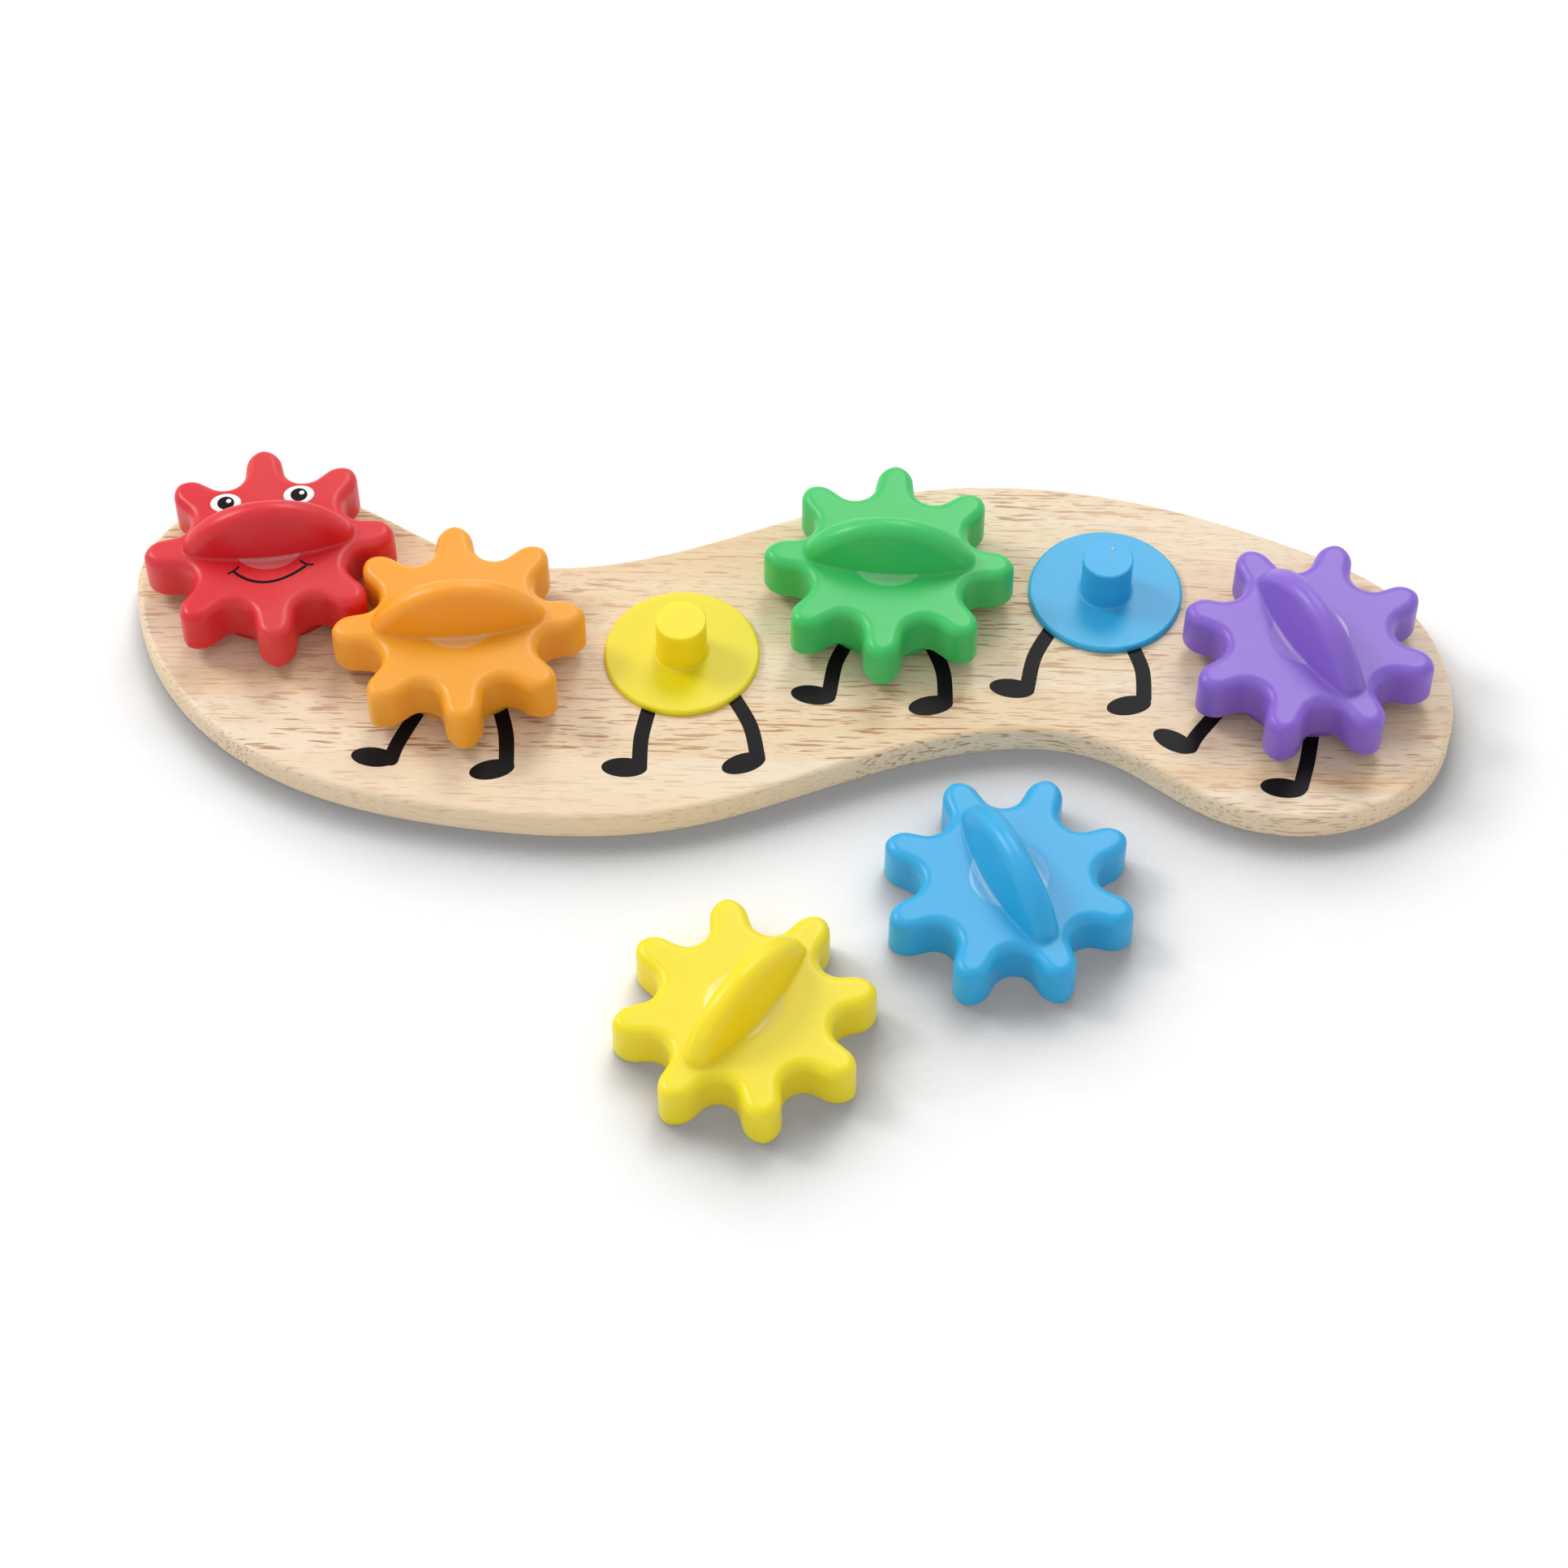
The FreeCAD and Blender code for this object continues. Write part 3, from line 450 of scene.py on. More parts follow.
def mixed(tree, share, first, second):
    node = tree.nodes.new("ShaderNodeMix")
    node.data_type = "RGBA"
    for socket, value in ((node.inputs[0], share), (node.inputs[6], first), (node.inputs[7], second)):
        if isinstance(value, Field):
            value = value.socket
        if isinstance(value, bpy.types.NodeSocket):
            tree.links.new(value, socket)
        else:
            socket.default_value = value
    return node.outputs[2]


def wood_grain_group():
    """Wood with its grain along X: broad bands, fine streaks, open pores, and a sawn rim where asked."""
    tree, entry, leave = node_group(
        "wood grain",
        [("Place", "place", None), ("Rim", "number", 0.0), ("Pale", "colour", None),
         ("Warm", "colour", None), ("Pores", "colour", None), ("Rim colour", "colour", None),
         ("Warmth", "number", 0.5), ("Pore amount", "number", 0.7)],
        [("Colour", "colour"), ("Roughness", "number"), ("Height", "number")])
    place = entry.outputs["Place"]
    bands = stretched_noise(tree, place, (2.2, 48, 48), detail=3, roughness=0.55, distortion=0.6)
    streaks = stretched_noise(tree, place, (9, 330, 330), detail=3, roughness=0.6)
    fibres = stretched_noise(tree, place, (35, 1700, 1700), detail=2)
    clusters = stretched_noise(tree, place, (9, 34, 34), detail=2, offset=(3.1, 1.7, 0.4))
    dashes = stretched_noise(tree, place, (105, 1250, 1250), detail=1, roughness=0.4)
    fine = stretched_noise(tree, place, (190, 2100, 2100), detail=1, offset=(0.7, 2.3, 5.1))
    specks = stretched_noise(tree, place, (900, 1500, 1500), detail=2)
    rim = Field(tree, entry.outputs["Rim"])
    warmth = ramp(bands, 0.34, 0.68) + ramp(streaks, 0.35, 0.75) * 0.45
    warmth = (warmth * Field(tree, entry.outputs["Warmth"])).least(1.0)
    ground = mixed(tree, warmth, entry.outputs["Pale"], entry.outputs["Warm"])
    ground = mixed(tree, ramp(fibres, 0.3, 0.7) * 0.16, ground, entry.outputs["Warm"])
    speckled = ramp(specks, 0.35, 0.7) * 0.35
    edge = mixed(tree, speckled, entry.outputs["Rim colour"], entry.outputs["Pale"])
    ground = mixed(tree, rim * 0.75, ground, edge)
    pores = ramp(dashes, 0.57, 0.68) * ramp(clusters, 0.3, 0.62, 0.25, 1.0)
    pores = pores.most(ramp(fine, 0.6, 0.72) * 0.5) * Field(tree, entry.outputs["Pore amount"])
    tree.links.new(mixed(tree, pores, ground, entry.outputs["Pores"]), leave.inputs["Colour"])
    rough = fibres * 0.08 + pores * 0.15 + rim * 0.15 + 0.42
    tree.links.new(rough.socket, leave.inputs["Roughness"])
    height = fibres * 0.25 - pores + specks * rim * 0.4
    tree.links.new(height.socket, leave.inputs["Height"])
    return tree


def moulding_group():
    """Satin injection-moulded plastic: a fine even texture, with a polished part where asked, which is
    smoother there and also paled towards white as a painted sheen.
    """
    tree, entry, leave = node_group(
        "satin moulding",
        [("Place", "place", None), ("Colour", "colour", None), ("Polish and painted sheen", "number", 0.0),
         ("Bloom", "number", 0.06)],
        [("Colour", "colour"), ("Roughness", "number"), ("Height", "number")])
    place = entry.outputs["Place"]
    cloud = stretched_noise(tree, place, (38, 38, 38), detail=2)
    texture = stretched_noise(tree, place, (2600, 2600, 2600), detail=2)
    polish_and_painted_sheen = Field(tree, entry.outputs["Polish and painted sheen"])
    pale = mixed(tree, Field(tree, entry.outputs["Bloom"]), entry.outputs["Colour"], (1, 1, 1, 1))
    tint = ramp(cloud, 0.3, 0.7) * 0.35 + ramp(texture, 0.3, 0.7) * 0.12
    body = mixed(tree, tint, entry.outputs["Colour"], pale)
    # painted sheen: the polished part is mixed a little towards white
    tree.links.new(mixed(tree, polish_and_painted_sheen * 0.15, body, (1, 1, 1, 1)), leave.inputs["Colour"])
    satin = cloud * 0.08 + texture * 0.06 + 0.29
    rough = satin * (-polish_and_painted_sheen + 1.0) + polish_and_painted_sheen * 0.16
    tree.links.new(rough.socket, leave.inputs["Roughness"])
    tree.links.new((texture * (-polish_and_painted_sheen + 1.0)).socket, leave.inputs["Height"])
    return tree


def round_patch_group():
    """One within a flat round patch about an upright axis, and nought outside it."""
    tree, entry, leave = node_group(
        "round patch",
        [("Place", "place", None), ("Centre", "place", None), ("Radius", "number", 0.01),
         ("Depth", "number", 0.002)],
        [("Mask", "number")])
    shift = tree.nodes.new("ShaderNodeVectorMath")
    shift.operation = "SUBTRACT"
    tree.links.new(entry.outputs["Place"], shift.inputs[0])
    tree.links.new(entry.outputs["Centre"], shift.inputs[1])
    split = tree.nodes.new("ShaderNodeSeparateXYZ")
    tree.links.new(shift.outputs[0], split.inputs[0])
    x, y, z = [Field(tree, split.outputs[number]) for number in range(3)]
    inside = (Field(tree, entry.outputs["Radius"]) - across(x, y)) * IN_MM
    level = (Field(tree, entry.outputs["Depth"]) - z.join("ABSOLUTE")) * IN_MM
    mask = ramp(inside, -0.1, 0.15) * ramp(level, 0.0, 0.1)
    tree.links.new(mask.socket, leave.inputs["Mask"])
    return tree


def shared_group(name, make):
    return bpy.data.node_groups.get(name) or make()


def new_material(name, bump_depth):
    """A material with a Principled shader, object coordinates and a bump, ready for its group."""
    material = bpy.data.materials.new(name)
    material.use_nodes = True
    tree = material.node_tree
    shader = tree.nodes["Principled BSDF"]
    place = tree.nodes.new("ShaderNodeTexCoord").outputs["Object"]
    bump = tree.nodes.new("ShaderNodeBump")
    bump.inputs["Strength"].default_value = 1.0
    bump.inputs["Distance"].default_value = bump_depth
    tree.links.new(bump.outputs["Normal"], shader.inputs["Normal"])
    return material, tree, shader, place, bump


def use_group(tree, group, shader=None, bump=None):
    node = tree.nodes.new("ShaderNodeGroup")
    node.node_tree = group
    if shader:
        tree.links.new(node.outputs["Colour"], shader.inputs["Base Color"])
        tree.links.new(node.outputs["Roughness"], shader.inputs["Roughness"])
        tree.links.new(node.outputs["Height"], bump.inputs["Height"])
    return node


def wood(name, offset, warmth, pores):
    colours = settings("wood")
    material, tree, shader, place, bump = new_material(name, bump_depth=0.00006)
    shift = tree.nodes.new("ShaderNodeMapping")
    shift.inputs["Location"].default_value = offset
    tree.links.new(place, shift.inputs["Vector"])
    grain = use_group(tree, shared_group("wood grain", wood_grain_group), shader, bump)
    tree.links.new(shift.outputs["Vector"], grain.inputs["Place"])
    for socket, field in (("Pale", "pale"), ("Warm", "warm"), ("Pores", "pore"), ("Rim colour", "rim")):
        grain.inputs[socket].default_value = (*getattr(colours, field), 1)
    grain.inputs["Warmth"].default_value = warmth
    grain.inputs["Pore amount"].default_value = pores
    facing = tree.nodes.new("ShaderNodeNewGeometry")
    split = tree.nodes.new("ShaderNodeSeparateXYZ")
    tree.links.new(facing.outputs["Normal"], split.inputs[0])
    upright = ramp(Field(tree, split.outputs[2]).join("ABSOLUTE"), 0.35, 0.95, 1.0, 0.0)
    tree.links.new(upright.socket, grain.inputs["Rim"])
    shader.inputs["Specular IOR Level"].default_value = 0.4
    shader.inputs["Coat Weight"].default_value = 0.08
    shader.inputs["Coat Roughness"].default_value = 0.4
    return material


def satin(name, shade, bump_depth=0.00001):
    """A material of one colour with the fine even texture of a moulding."""
    material, tree, shader, place, bump = new_material(name, bump_depth)
    texture = use_group(tree, shared_group("satin moulding", moulding_group), shader, bump)
    tree.links.new(place, texture.inputs["Place"])
    texture.inputs["Colour"].default_value = (*shade, 1)
    return material, tree, shader, place, texture


def plastic(name, shade, dish=None):
    """The satin plastic of one colour; a gear's is polished within the dish round its centre, and paled
    there as a painted sheen.
    """
    material, tree, shader, place, moulding = satin(name, shade)
    if dish:
        patch = use_group(tree, shared_group("round patch", round_patch_group))
        tree.links.new(place, patch.inputs["Place"])
        patch.inputs["Centre"].default_value = dish
        patch.inputs["Radius"].default_value = settings("gear").dish - settings("gear").dish_soft
        patch.inputs["Depth"].default_value = settings("gear").dish_depth
        tree.links.new(patch.outputs["Mask"], moulding.inputs["Polish and painted sheen"])
    shader.inputs["Specular IOR Level"].default_value = 0.42
    shader.inputs["Subsurface Weight"].default_value = 0.5
    shader.inputs["Subsurface Radius"].default_value = shade
    shader.inputs["Subsurface Scale"].default_value = 0.008
    return material


def ink(name, shade):
    material, tree, shader, place, film = satin(name, shade)
    film.inputs["Bloom"].default_value = 0.01
    shader.inputs["Specular IOR Level"].default_value = 0.08
    return material


def paint(piece, material):
    piece.data.materials.clear()
    piece.data.materials.append(material)


def hub_axis(name):
    """Where the upright axis of a hub stands, and the height of its highest point."""
    low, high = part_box(name + "_hub")
    return Vector(((low[0] + high[0]) / 2, (low[1] + high[1]) / 2, high[2]))


def gear_seat(name):
    """The middle of a gear's underside: over its hub, or where the loose gear's bore is."""
    low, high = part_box(name + "_gear")
    for mount in frame["record"]["mounts"]:
        if mount["name"] == name + "_gear_bore":
            return Vector((mount["pos_m"][0], mount["pos_m"][1], low[2]))
    axis = hub_axis(name)
    return Vector((axis.x, axis.y, low[2]))


class GEARBOARD_OT_stage(bpy.types.Operator):
    """Make the camera, the pale floor and the soft lamps"""

    bl_idname = "gear_board.stage"
    bl_label = "Stage"

    def execute(self, context):
        sizes = settings("stage")
        self.add_camera(context, sizes)
        self.add_floor(sizes)
        self.add_lamps(sizes)
        context.scene.view_settings.view_transform = "Standard"
        return {"FINISHED"}

    def add_camera(self, context, sizes):
        data = bpy.data.cameras.new("camera")
        data.lens = sizes.lens
        camera = bpy.data.objects.new("camera", data)
        context.scene.collection.objects.link(camera)
        flat, high = math.cos(sizes.rise), math.sin(sizes.rise)
        turn = Matrix.Rotation(sizes.swing, 3, "Z")
        sight = turn @ Vector((0, flat, -high))
        right = turn @ Vector((1, 0, 0))
        up = turn @ Vector((0, high, flat))
        lean = math.cos(sizes.roll), math.sin(sizes.roll)
        tilted = lean[0] * right + lean[1] * up, lean[0] * up - lean[1] * right
        axes = Matrix((*tilted, -sight)).transposed()
        stand = Matrix.Translation(Vector(sizes.aim) - sight * sizes.distance)
        camera.matrix_world = stand @ axes.to_4x4()
        reach = 50
        data.clip_start = sizes.distance / reach
        data.clip_end = sizes.distance * reach
        context.scene.camera = camera

    def add_floor(self, sizes):
        half = sizes.floor_half
        mesh = bpy.data.meshes.new("floor")
        low = -sizes.floor_gap
        corners = [(-half, -half, low), (half, -half, low), (half, half, low), (-half, half, low)]
        mesh.from_pydata(corners, [], [(0, 1, 2, 3)])
        floor = bpy.data.objects.new("floor", mesh)
        bpy.context.scene.collection.objects.link(floor)
        material = bpy.data.materials.new("floor")
        material.use_nodes = True
        tree = material.node_tree
        tree.nodes.clear()
        # painted shadow: the floor's colour darkens towards the floor shade where ambient occlusion,
        # about a normal leaning towards shade from, finds the toy near; only on rays that see the floor
        # directly
        matt = tree.nodes.new("ShaderNodeBsdfDiffuse")
        near = tree.nodes.new("ShaderNodeAmbientOcclusion")
        near.inputs["Distance"].default_value = sizes.shade_reach
        behind = tree.nodes.new("ShaderNodeCombineXYZ")
        for socket, part in zip(behind.inputs, sizes.shade_from):
            socket.default_value = part
        tree.links.new(behind.outputs["Vector"], near.inputs["Normal"])
        painted_shadow_share = ramp(Field(tree, near.outputs["AO"]), sizes.shade_full, 1.0, 1.0, 0.0)
        painted_shadow_share = painted_shadow_share * self.seen_directly(tree)
        shade = mixed(tree, painted_shadow_share, (*sizes.floor, 1), (*sizes.floor_shade, 1))
        tree.links.new(shade, matt.inputs["Color"])
        glow = tree.nodes.new("ShaderNodeEmission")
        lift = self.seen_directly(tree) * sizes.floor_lift
        tree.links.new(lift.socket, glow.inputs["Strength"])
        both = tree.nodes.new("ShaderNodeAddShader")
        tree.links.new(matt.outputs[0], both.inputs[0])
        tree.links.new(glow.outputs[0], both.inputs[1])
        tree.links.new(both.outputs[0], tree.nodes.new("ShaderNodeOutputMaterial").inputs["Surface"])
        paint(floor, material)

    def seen_directly(self, tree):
        """One on a ray from the camera, or one seen in or through a surface, and nought on others."""
        path = tree.nodes.new("ShaderNodeLightPath")
        rays = [Field(tree, path.outputs[name])
                for name in ("Is Camera Ray", "Is Glossy Ray", "Is Transmission Ray")]
        return rays[0].most(rays[1]).most(rays[2])

    def add_lamps(self, sizes):
        world = bpy.data.worlds.new("studio")
        bpy.context.scene.world = world
        world.use_nodes = True
        tree = world.node_tree
        sky = tree.nodes["Background"]
        sky.inputs["Color"].default_value = (1, 1, 1, 1)
        strength = self.seen_directly(tree) * (1.0 - sizes.sky) + sizes.sky
        tree.links.new(strength.socket, sky.inputs["Strength"])
        self.add_lamp("key", sizes.key, sizes.key_spot, sizes.key_size, sizes.aim)
        self.add_lamp("sheen", sizes.sheen, sizes.sheen_spot, sizes.sheen_size, sizes.aim)

    def add_lamp(self, name, power, spot, disc, aim):
        """A soft round lamp, turned towards what the camera looks at."""
        data = bpy.data.lights.new(name, "AREA")
        data.shape = "DISK"
        data.size = disc
        data.energy = power
        lamp = bpy.data.objects.new(name, data)
        lamp.location = spot
        way = Vector(aim) - Vector(spot)
        lamp.rotation_euler = way.to_track_quat("-Z", "Y").to_euler()
        bpy.context.scene.collection.objects.link(lamp)


class GEARBOARD_OT_board(bpy.types.Operator):
    """Give each stave of the board its own run of wood"""

    bl_idname = "gear_board.board"
    bl_label = "Board"

    def execute(self, context):
        for name, (offset, warmth, pores) in STAVES.items():
            paint(frame["nodes"][name], wood("wood_" + name, offset, warmth, pores))
        return {"FINISHED"}


class GEARBOARD_OT_hubs(bpy.types.Operator):
    """Give each hub its plastic"""

    bl_idname = "gear_board.hubs"
    bl_label = "Hubs"

    def execute(self, context):
        for name in COLOURS:
            finish = plastic(name + "_hub_plastic", getattr(settings("plastic"), name))
            paint(frame["nodes"][name + "_hub"], finish)
        return {"FINISHED"}


class GEARBOARD_OT_painted_glint_dot(bpy.types.Operator):
    """Put a small raised pale dot on top of the blue peg, a painted glint"""

    bl_idname = "gear_board.gate_mark"
    bl_label = "Painted glint dot"

    # millimetres from the hub's axis, and the dot's height as a share of its width
    spot = (1.4, 3.6)
    flatness = 0.4

    def execute(self, context):
        sizes = settings("print")
        axis = hub_axis("blue")
        builder = bmesh.new()
        bmesh.ops.create_uvsphere(builder, u_segments=32, v_segments=16, radius=sizes.gate_mark)
        flat = Matrix.Diagonal((1.0, 1.0, self.flatness, 1.0))
        place = Matrix.Translation(axis + Vector((self.spot[0] * MM, self.spot[1] * MM, 0)))
        bmesh.ops.transform(builder, matrix=place @ flat, verts=builder.verts)
        for face in builder.faces:
            face.smooth = True
        mesh = bpy.data.meshes.new("gate_mark")
        builder.to_mesh(mesh)
        builder.free()
        mark = bpy.data.objects.new("gate_mark", mesh)
        bpy.context.scene.collection.objects.link(mark)
        paint(mark, plastic("painted_glint_dot_plastic", sizes.painted_glint_colour))
        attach(mark, "board")
        return {"FINISHED"}


class GEARBOARD_OT_screws(bpy.types.Operator):
    """Give the screws under the board their zinc"""

    bl_idname = "gear_board.screws"
    bl_label = "Screws"

    def execute(self, context):
        material, tree, shader, place, texture = satin("zinc", (0.6, 0.6, 0.62), bump_depth=0.00002)
        shader.inputs["Metallic"].default_value = 1.0
        paint(frame["nodes"]["hub_screws"], material)
        return {"FINISHED"}


class GEARBOARD_OT_gears(bpy.types.Operator):
    """Grow the moulded gears, each in its own place and plastic"""

    bl_idname = "gear_board.gears"
    bl_label = "Gears"

    def execute(self, context):
        sizes = settings("gear")
        tree = gear_tree(sizes)
        for name in COLOURS:
            seat = gear_seat(name)
            dish = (seat.x, seat.y, seat.z + sizes.thick)
            finish = plastic(name + "_gear_plastic", getattr(settings("plastic"), name), dish)
            gear = grow(
                name + "_gear_moulding", tree, Turn=(0.0, 0.0, math.radians(GEAR_TURNS[name])),
                Seat=tuple(seat), Finish=finish)
            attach(gear, name + "_gear")
            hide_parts(name + "_gear")
        return {"FINISHED"}


# Each leg: its hub, three points down the leg and the middle of the foot, in millimetres from the
# hub's axis, and how far the foot is turned, in degrees.
LEGS = (
    ("orange", (-11.2, -18.7), (-16.6, -31.6), (-18.2, -37.8), (-23.3, -37.0), -7),
    ("orange", (12.4, -17.9), (14.9, -27.8), (15.7, -38.6), (11.6, -40.8), 15),
    ("yellow", (-8.9, -19.9), (-10.8, -31.1), (-10.9, -41.9), (-15.3, -42.3), -1),
    ("yellow", (15.5, -14.9), (21.1, -26.2), (23.5, -37.6), (19.5, -40.0), 22),
    ("green", (-12.2, -18.0), (-15.4, -25.8), (-17.1, -37.1), (-21.8, -37.8), -9),
    ("green", (13.0, -17.5), (16.6, -27.9), (17.3, -38.2), (13.0, -41.0), 13),
    ("blue", (-16.2, -13.7), (-21.6, -24.8), (-24.0, -37.2), (-28.5, -37.0), -8),
    ("blue", (7.7, -20.4), (10.4, -29.6), (10.5, -39.9), (6.0, -42.7), 13),
    ("purple", (-20.6, -7.2), (-31.8, -22.2), (-34.7, -27.7), (-39.4, -25.6), -31),
    ("purple", (1.2, -21.8), (-0.7, -32.3), (-3.1, -41.6), (-8.2, -42.1), -7),
)


def leg_tree():
    """Flat strokes of ink along the legs' lines, each with a round heel and an oval foot at its end."""
    tree = bpy.data.node_groups.new("printed legs", "GeometryNodeTree")
    tree.interface.new_socket("Geometry", in_out="OUTPUT", socket_type="NodeSocketGeometry")
    tree.interface.new_socket("Lines", in_out="INPUT", socket_type="NodeSocketGeometry")
    for title in ("Leg width", "Ink depth"):
        tree.interface.new_socket(title, in_out="INPUT", socket_type="NodeSocketFloat")
    tree.interface.new_socket("Finish", in_out="INPUT", socket_type="NodeSocketMaterial")
    entry = tree.nodes.new("NodeGroupInput")

    part = tree.nodes.new("GeometryNodeSeparateGeometry")
    part.domain = "POINT"
    tree.links.new(entry.outputs["Lines"], part.inputs["Geometry"])
    tree.links.new(named(tree, "is_oval", "BOOLEAN"), part.inputs["Selection"])

    lines = tree.nodes.new("GeometryNodeMeshToCurve")
    curved = tree.nodes.new("GeometryNodeCurveSplineType")
    curved.spline_type = "CATMULL_ROM"
    upright = tree.nodes.new("GeometryNodeSetCurveNormal")
    upright.mode = "Z_UP"
    even = tree.nodes.new("GeometryNodeResampleCurve")
    even.inputs["Count"].default_value = 24
    section = tree.nodes.new("GeometryNodeCurvePrimitiveQuadrilateral")
    stroke = tree.nodes.new("GeometryNodeCurveToMesh")
    stroke.inputs["Fill Caps"].default_value = True
    tree.links.new(part.outputs["Inverted"], lines.inputs["Mesh"])
    tree.links.new(lines.outputs["Curve"], curved.inputs["Curve"])
    tree.links.new(curved.outputs["Curve"], upright.inputs["Curve"])
    tree.links.new(upright.outputs["Curve"], even.inputs["Curve"])
    tree.links.new(even.outputs["Curve"], stroke.inputs["Curve"])
    tree.links.new(entry.outputs["Leg width"], section.inputs["Width"])
    tree.links.new(entry.outputs["Ink depth"], section.inputs["Height"])
    tree.links.new(section.outputs["Curve"], stroke.inputs["Profile Curve"])

    oval = tree.nodes.new("GeometryNodeMeshCylinder")
    oval.inputs["Vertices"].default_value = 48
    oval.inputs["Radius"].default_value = 0.5
    tree.links.new(entry.outputs["Ink depth"], oval.inputs["Depth"])
    each = tree.nodes.new("GeometryNodeInstanceOnPoints")
    tree.links.new(part.outputs["Selection"], each.inputs["Points"])
    tree.links.new(oval.outputs["Mesh"], each.inputs["Instance"])
    tree.links.new(named(tree, "oval_turn", "FLOAT_VECTOR"), each.inputs["Rotation"])
    tree.links.new(named(tree, "oval_size", "FLOAT_VECTOR"), each.inputs["Scale"])

    whole = tree.nodes.new("GeometryNodeJoinGeometry")
    tree.links.new(stroke.outputs["Mesh"], whole.inputs["Geometry"])
    tree.links.new(each.outputs["Instances"], whole.inputs["Geometry"])
    finish_tree(tree, entry, whole.outputs["Geometry"])
    return tree


def named(tree, name, kind):
    """What the points of a mesh carry under a name."""
    carried = tree.nodes.new("GeometryNodeInputNamedAttribute")
    carried.data_type = kind
    carried.inputs["Name"].default_value = name
    return carried.outputs["Attribute"]


class GEARBOARD_OT_legs(bpy.types.Operator):
    """Print the bug's legs on the board, two beside each hub after the first"""

    bl_idname = "gear_board.legs"
    bl_label = "Legs"

    heel_lift = 0.00001
    foot_lift = 0.00002

    def execute(self, context):
        sizes = settings("print")
        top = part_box("board_stave_middle")[1][2]
        points, edges, ovals, shapes, turns = [], [], [], [], []
        heel = (sizes.leg_width, sizes.leg_width, 1.0)
        foot = (sizes.foot_length, sizes.foot_width, 1.0)
        for name, *places, turn in LEGS:
            axis = hub_axis(name)
            first = len(points)
            spots = [Vector((axis.x + x * MM, axis.y + y * MM, top)) for x, y in places]
            heel_spot = spots[2] + Vector((0, 0, self.heel_lift))
            foot_spot = spots[3] + Vector((0, 0, self.foot_lift))
            points += spots[:3] + [heel_spot, foot_spot]
            edges += [(first, first + 1), (first + 1, first + 2)]
            ovals += [False, False, False, True, True]
            shapes += [(1.0, 1.0, 1.0)] * 3 + [heel, foot]
            turns += [(0.0, 0.0, 0.0)] * 4 + [(0.0, 0.0, math.radians(turn))]
        lines = bpy.data.meshes.new("leg_lines")
        lines.from_pydata(points, edges, [])
        lines.attributes.new("is_oval", "BOOLEAN", "POINT").data.foreach_set("value", ovals)
        for title, rows in (("oval_size", shapes), ("oval_turn", turns)):
            flat = [number for row in rows for number in row]
            lines.attributes.new(title, "FLOAT_VECTOR", "POINT").data.foreach_set("vector", flat)
        inputs = {
            "Leg width": sizes.leg_width, "Ink depth": sizes.ink_depth,
            "Finish": ink("leg_ink", sizes.ink)}
        legs = grow("printed_legs", leg_tree(), lines, **inputs)
        legs.data.shade_flat()
        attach(legs, "board")
        return {"FINISHED"}


def lay_on(name, surface, rings, lift, depth, closed, material):
    """Drape rows of points over a mesh from above, and give the sheet a thickness."""
    builder = bmesh.new()
    rows = []
    for ring in rings:
        row = []
        for x, y in ring:
            hit = surface.ray_cast(Vector((x, y, 1.0)), Vector((0, 0, -1)))[0]
            if hit is None:
                raise RuntimeError(name + " misses the surface under it")
            row.append(builder.verts.new((x, y, hit.z + lift)))
        rows.append(row)
    for first, second in zip(rows, rows[1:]):
        count = len(first)
        for number in range(count if closed else count - 1):
            after = (number + 1) % count
            builder.faces.new((first[number], first[after], second[after], second[number]))
    if closed:
        bmesh.ops.contextual_create(builder, geom=rows[0])
    bmesh.ops.recalc_face_normals(builder, faces=builder.faces)
    if sum(face.normal.z for face in builder.faces) < 0:
        bmesh.ops.reverse_faces(builder, faces=builder.faces)
    mesh = bpy.data.meshes.new(name)
    builder.to_mesh(mesh)
    builder.free()
    piece = bpy.data.objects.new(name, mesh)
    bpy.context.scene.collection.objects.link(piece)
    for face in mesh.polygons:
        face.use_smooth = True
    skin = piece.modifiers.new("thickness", "SOLIDIFY")
    skin.thickness = depth
    skin.offset = -1.0
    paint(piece, material)
    return piece


def oval_rings(centre, long_half, short_half, turn):
    """Rings of points from near the middle of an oval out to its edge."""
    rings = []
    around = 48
    for share in (0.15, 0.4, 0.65, 0.85, 1.0):
        ring = []
        for step in range(around):
            angle = 2 * math.pi * step / around
            spot = Vector((long_half * share * math.cos(angle), short_half * share * math.sin(angle), 0))
            spot.rotate(Matrix.Rotation(turn, 3, "Z"))
            ring.append((centre.x + spot.x, centre.y + spot.y))
        rings.append(ring)
    return rings


def stroke_rows(start, middle, end, width):
    """Pairs of points down both edges of a round-ended line that bends through three points."""
    rows = []
    steps = 40
    stride = 0.01
    bluntness = 0.08
    for step in range(steps + 1):
        share = step / steps
        spot = on_parabola(start, middle, end, share)
        ahead = on_parabola(start, middle, end, min(1.0, share + stride))
        behind = on_parabola(start, middle, end, max(0.0, share - stride))
        way = (ahead - behind).normalized()
        nearest_end = min(share, 1 - share) * (end - start).length
        half = width / 2 * math.sqrt(max(bluntness, min(1.0, 2 * nearest_end / width)))
        side = Vector((-way.y, way.x, 0)) * half
        rows.append([(spot.x + side.x, spot.y + side.y), (spot.x - side.x, spot.y - side.y)])
    return rows


def on_parabola(start, middle, end, share):
    """The point that lies a share of the way from start to end along the arc through the middle."""
    bend = middle * 2 - (start + end) / 2
    return start * (1 - share) ** 2 + bend * 2 * share * (1 - share) + end * share ** 2


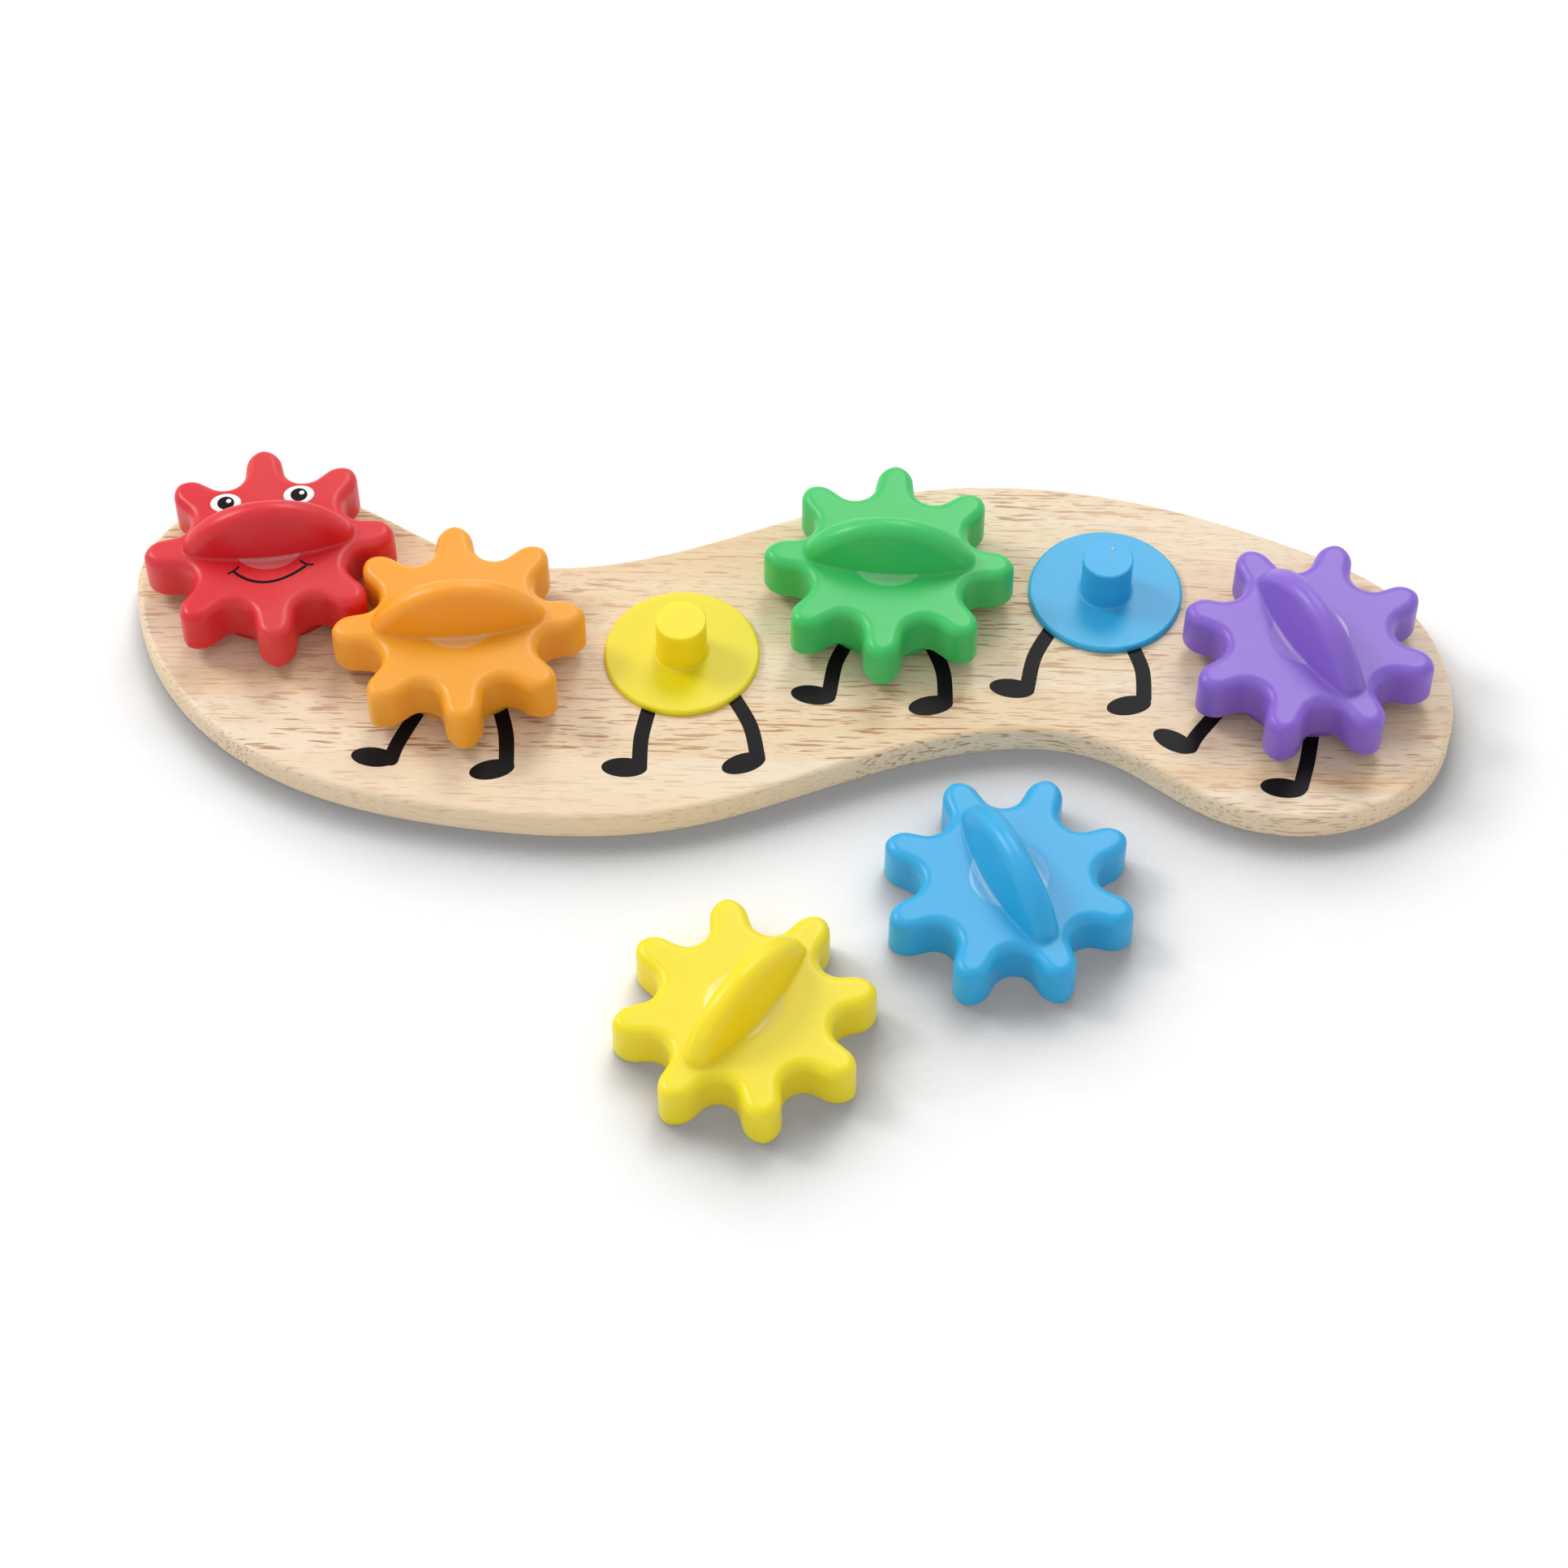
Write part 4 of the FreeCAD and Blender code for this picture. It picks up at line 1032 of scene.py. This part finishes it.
class GEARBOARD_OT_face(bpy.types.Operator):
    """Print two eyes and a smile on the first gear's face"""

    bl_idname = "gear_board.face"
    bl_label = "Face"

    # millimetres from the first gear's axis
    eyes = ((-14.32, 14.25), (7.39, 18.11))
    eye_turn = 8.0
    glint_shift = (0.8, 0.8)
    smile = (
        ("smile", (-9.41, -12.42), (1.2, -16.3), (12.36, -9.5), 1.0),
        ("smile_left_tick", (-11.0, -13.4), (-9.15, -12.25), (-7.7, -10.4), 0.75),
        ("smile_right_tick", (10.15, -7.55), (12.15, -9.1), (14.5, -9.1), 0.75))

    def execute(self, context):
        sizes = settings("print")
        gear = bpy.data.objects["red_gear_moulding"]
        surface = BVHTree.FromPolygons(
            [vertex.co for vertex in gear.data.vertices], [face.vertices for face in gear.data.polygons])
        axis = gear_seat("red")
        black = ink("face_ink", sizes.ink)
        white = ink("eye_white", sizes.white)
        film = sizes.ink_depth
        turn = math.radians(self.eye_turn)
        for side, (x, y) in zip(("left", "right"), self.eyes):
            centre = Vector((axis.x + x * MM, axis.y + y * MM, 0))
            glint = centre + Vector((self.glint_shift[0] * MM, self.glint_shift[1] * MM, 0))
            ovals = (
                ("eye_white_" + side, centre, sizes.eye_length, sizes.eye_width, 0.25, white),
                ("pupil_" + side, centre, sizes.pupil, sizes.pupil, 0.5, black),
                ("glint_" + side, glint, sizes.glint, sizes.glint, 0.75, white))
            for name, middle, long_half, short_half, lift, material in ovals:
                rings = oval_rings(middle, long_half, short_half, turn)
                self.keep(lay_on(name, surface, rings, film * lift, film, True, material))
        for name, *places, share in self.smile:
            spots = [Vector((axis.x + x * MM, axis.y + y * MM, 0)) for x, y in places]
            rows = stroke_rows(*spots, sizes.smile_width * share)
            self.keep(lay_on(name, surface, rows, film * 0.25, film, False, black))
        return {"FINISHED"}

    def keep(self, piece):
        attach(piece, "red_gear")


class GEARBOARD_PT_panel(bpy.types.Panel):
    """Lists the steps that dress the toy"""

    bl_label = "Gear board"
    bl_space_type = "VIEW_3D"
    bl_region_type = "UI"
    bl_category = "Gear board"

    def draw(self, context):
        for step in STEPS:
            self.layout.operator(step.bl_idname)
        for kind, name in SETTINGS.items():
            box = self.layout.box()
            box.label(text=kind.title())
            group = getattr(context.scene, name)
            for field in group.__annotations__:
                box.prop(group, field)


STEPS = (
    GEARBOARD_OT_stage, GEARBOARD_OT_board, GEARBOARD_OT_hubs, GEARBOARD_OT_painted_glint_dot,
    GEARBOARD_OT_screws, GEARBOARD_OT_gears, GEARBOARD_OT_legs, GEARBOARD_OT_face)
GROUPS = {
    "gear": GearSizes, "wood": WoodColours, "plastic": PlasticColours, "print": PrintSizes,
    "stage": StageSizes}
SETTINGS = {kind: "gear_board_" + kind for kind in GROUPS}


def register():
    for kind, group in GROUPS.items():
        bpy.utils.register_class(group)
        setattr(bpy.types.Scene, SETTINGS[kind], PointerProperty(type=group))
    for step in STEPS + (GEARBOARD_PT_panel,):
        bpy.utils.register_class(step)


def unregister():
    for step in reversed(STEPS + (GEARBOARD_PT_panel,)):
        bpy.utils.unregister_class(step)
    for kind, group in reversed(GROUPS.items()):
        delattr(bpy.types.Scene, SETTINGS[kind])
        bpy.utils.unregister_class(group)


def main():
    register()
    for step in STEPS:
        family, name = step.bl_idname.split(".")
        getattr(getattr(bpy.ops, family), name)()


if __name__ == "__main__":
    main()
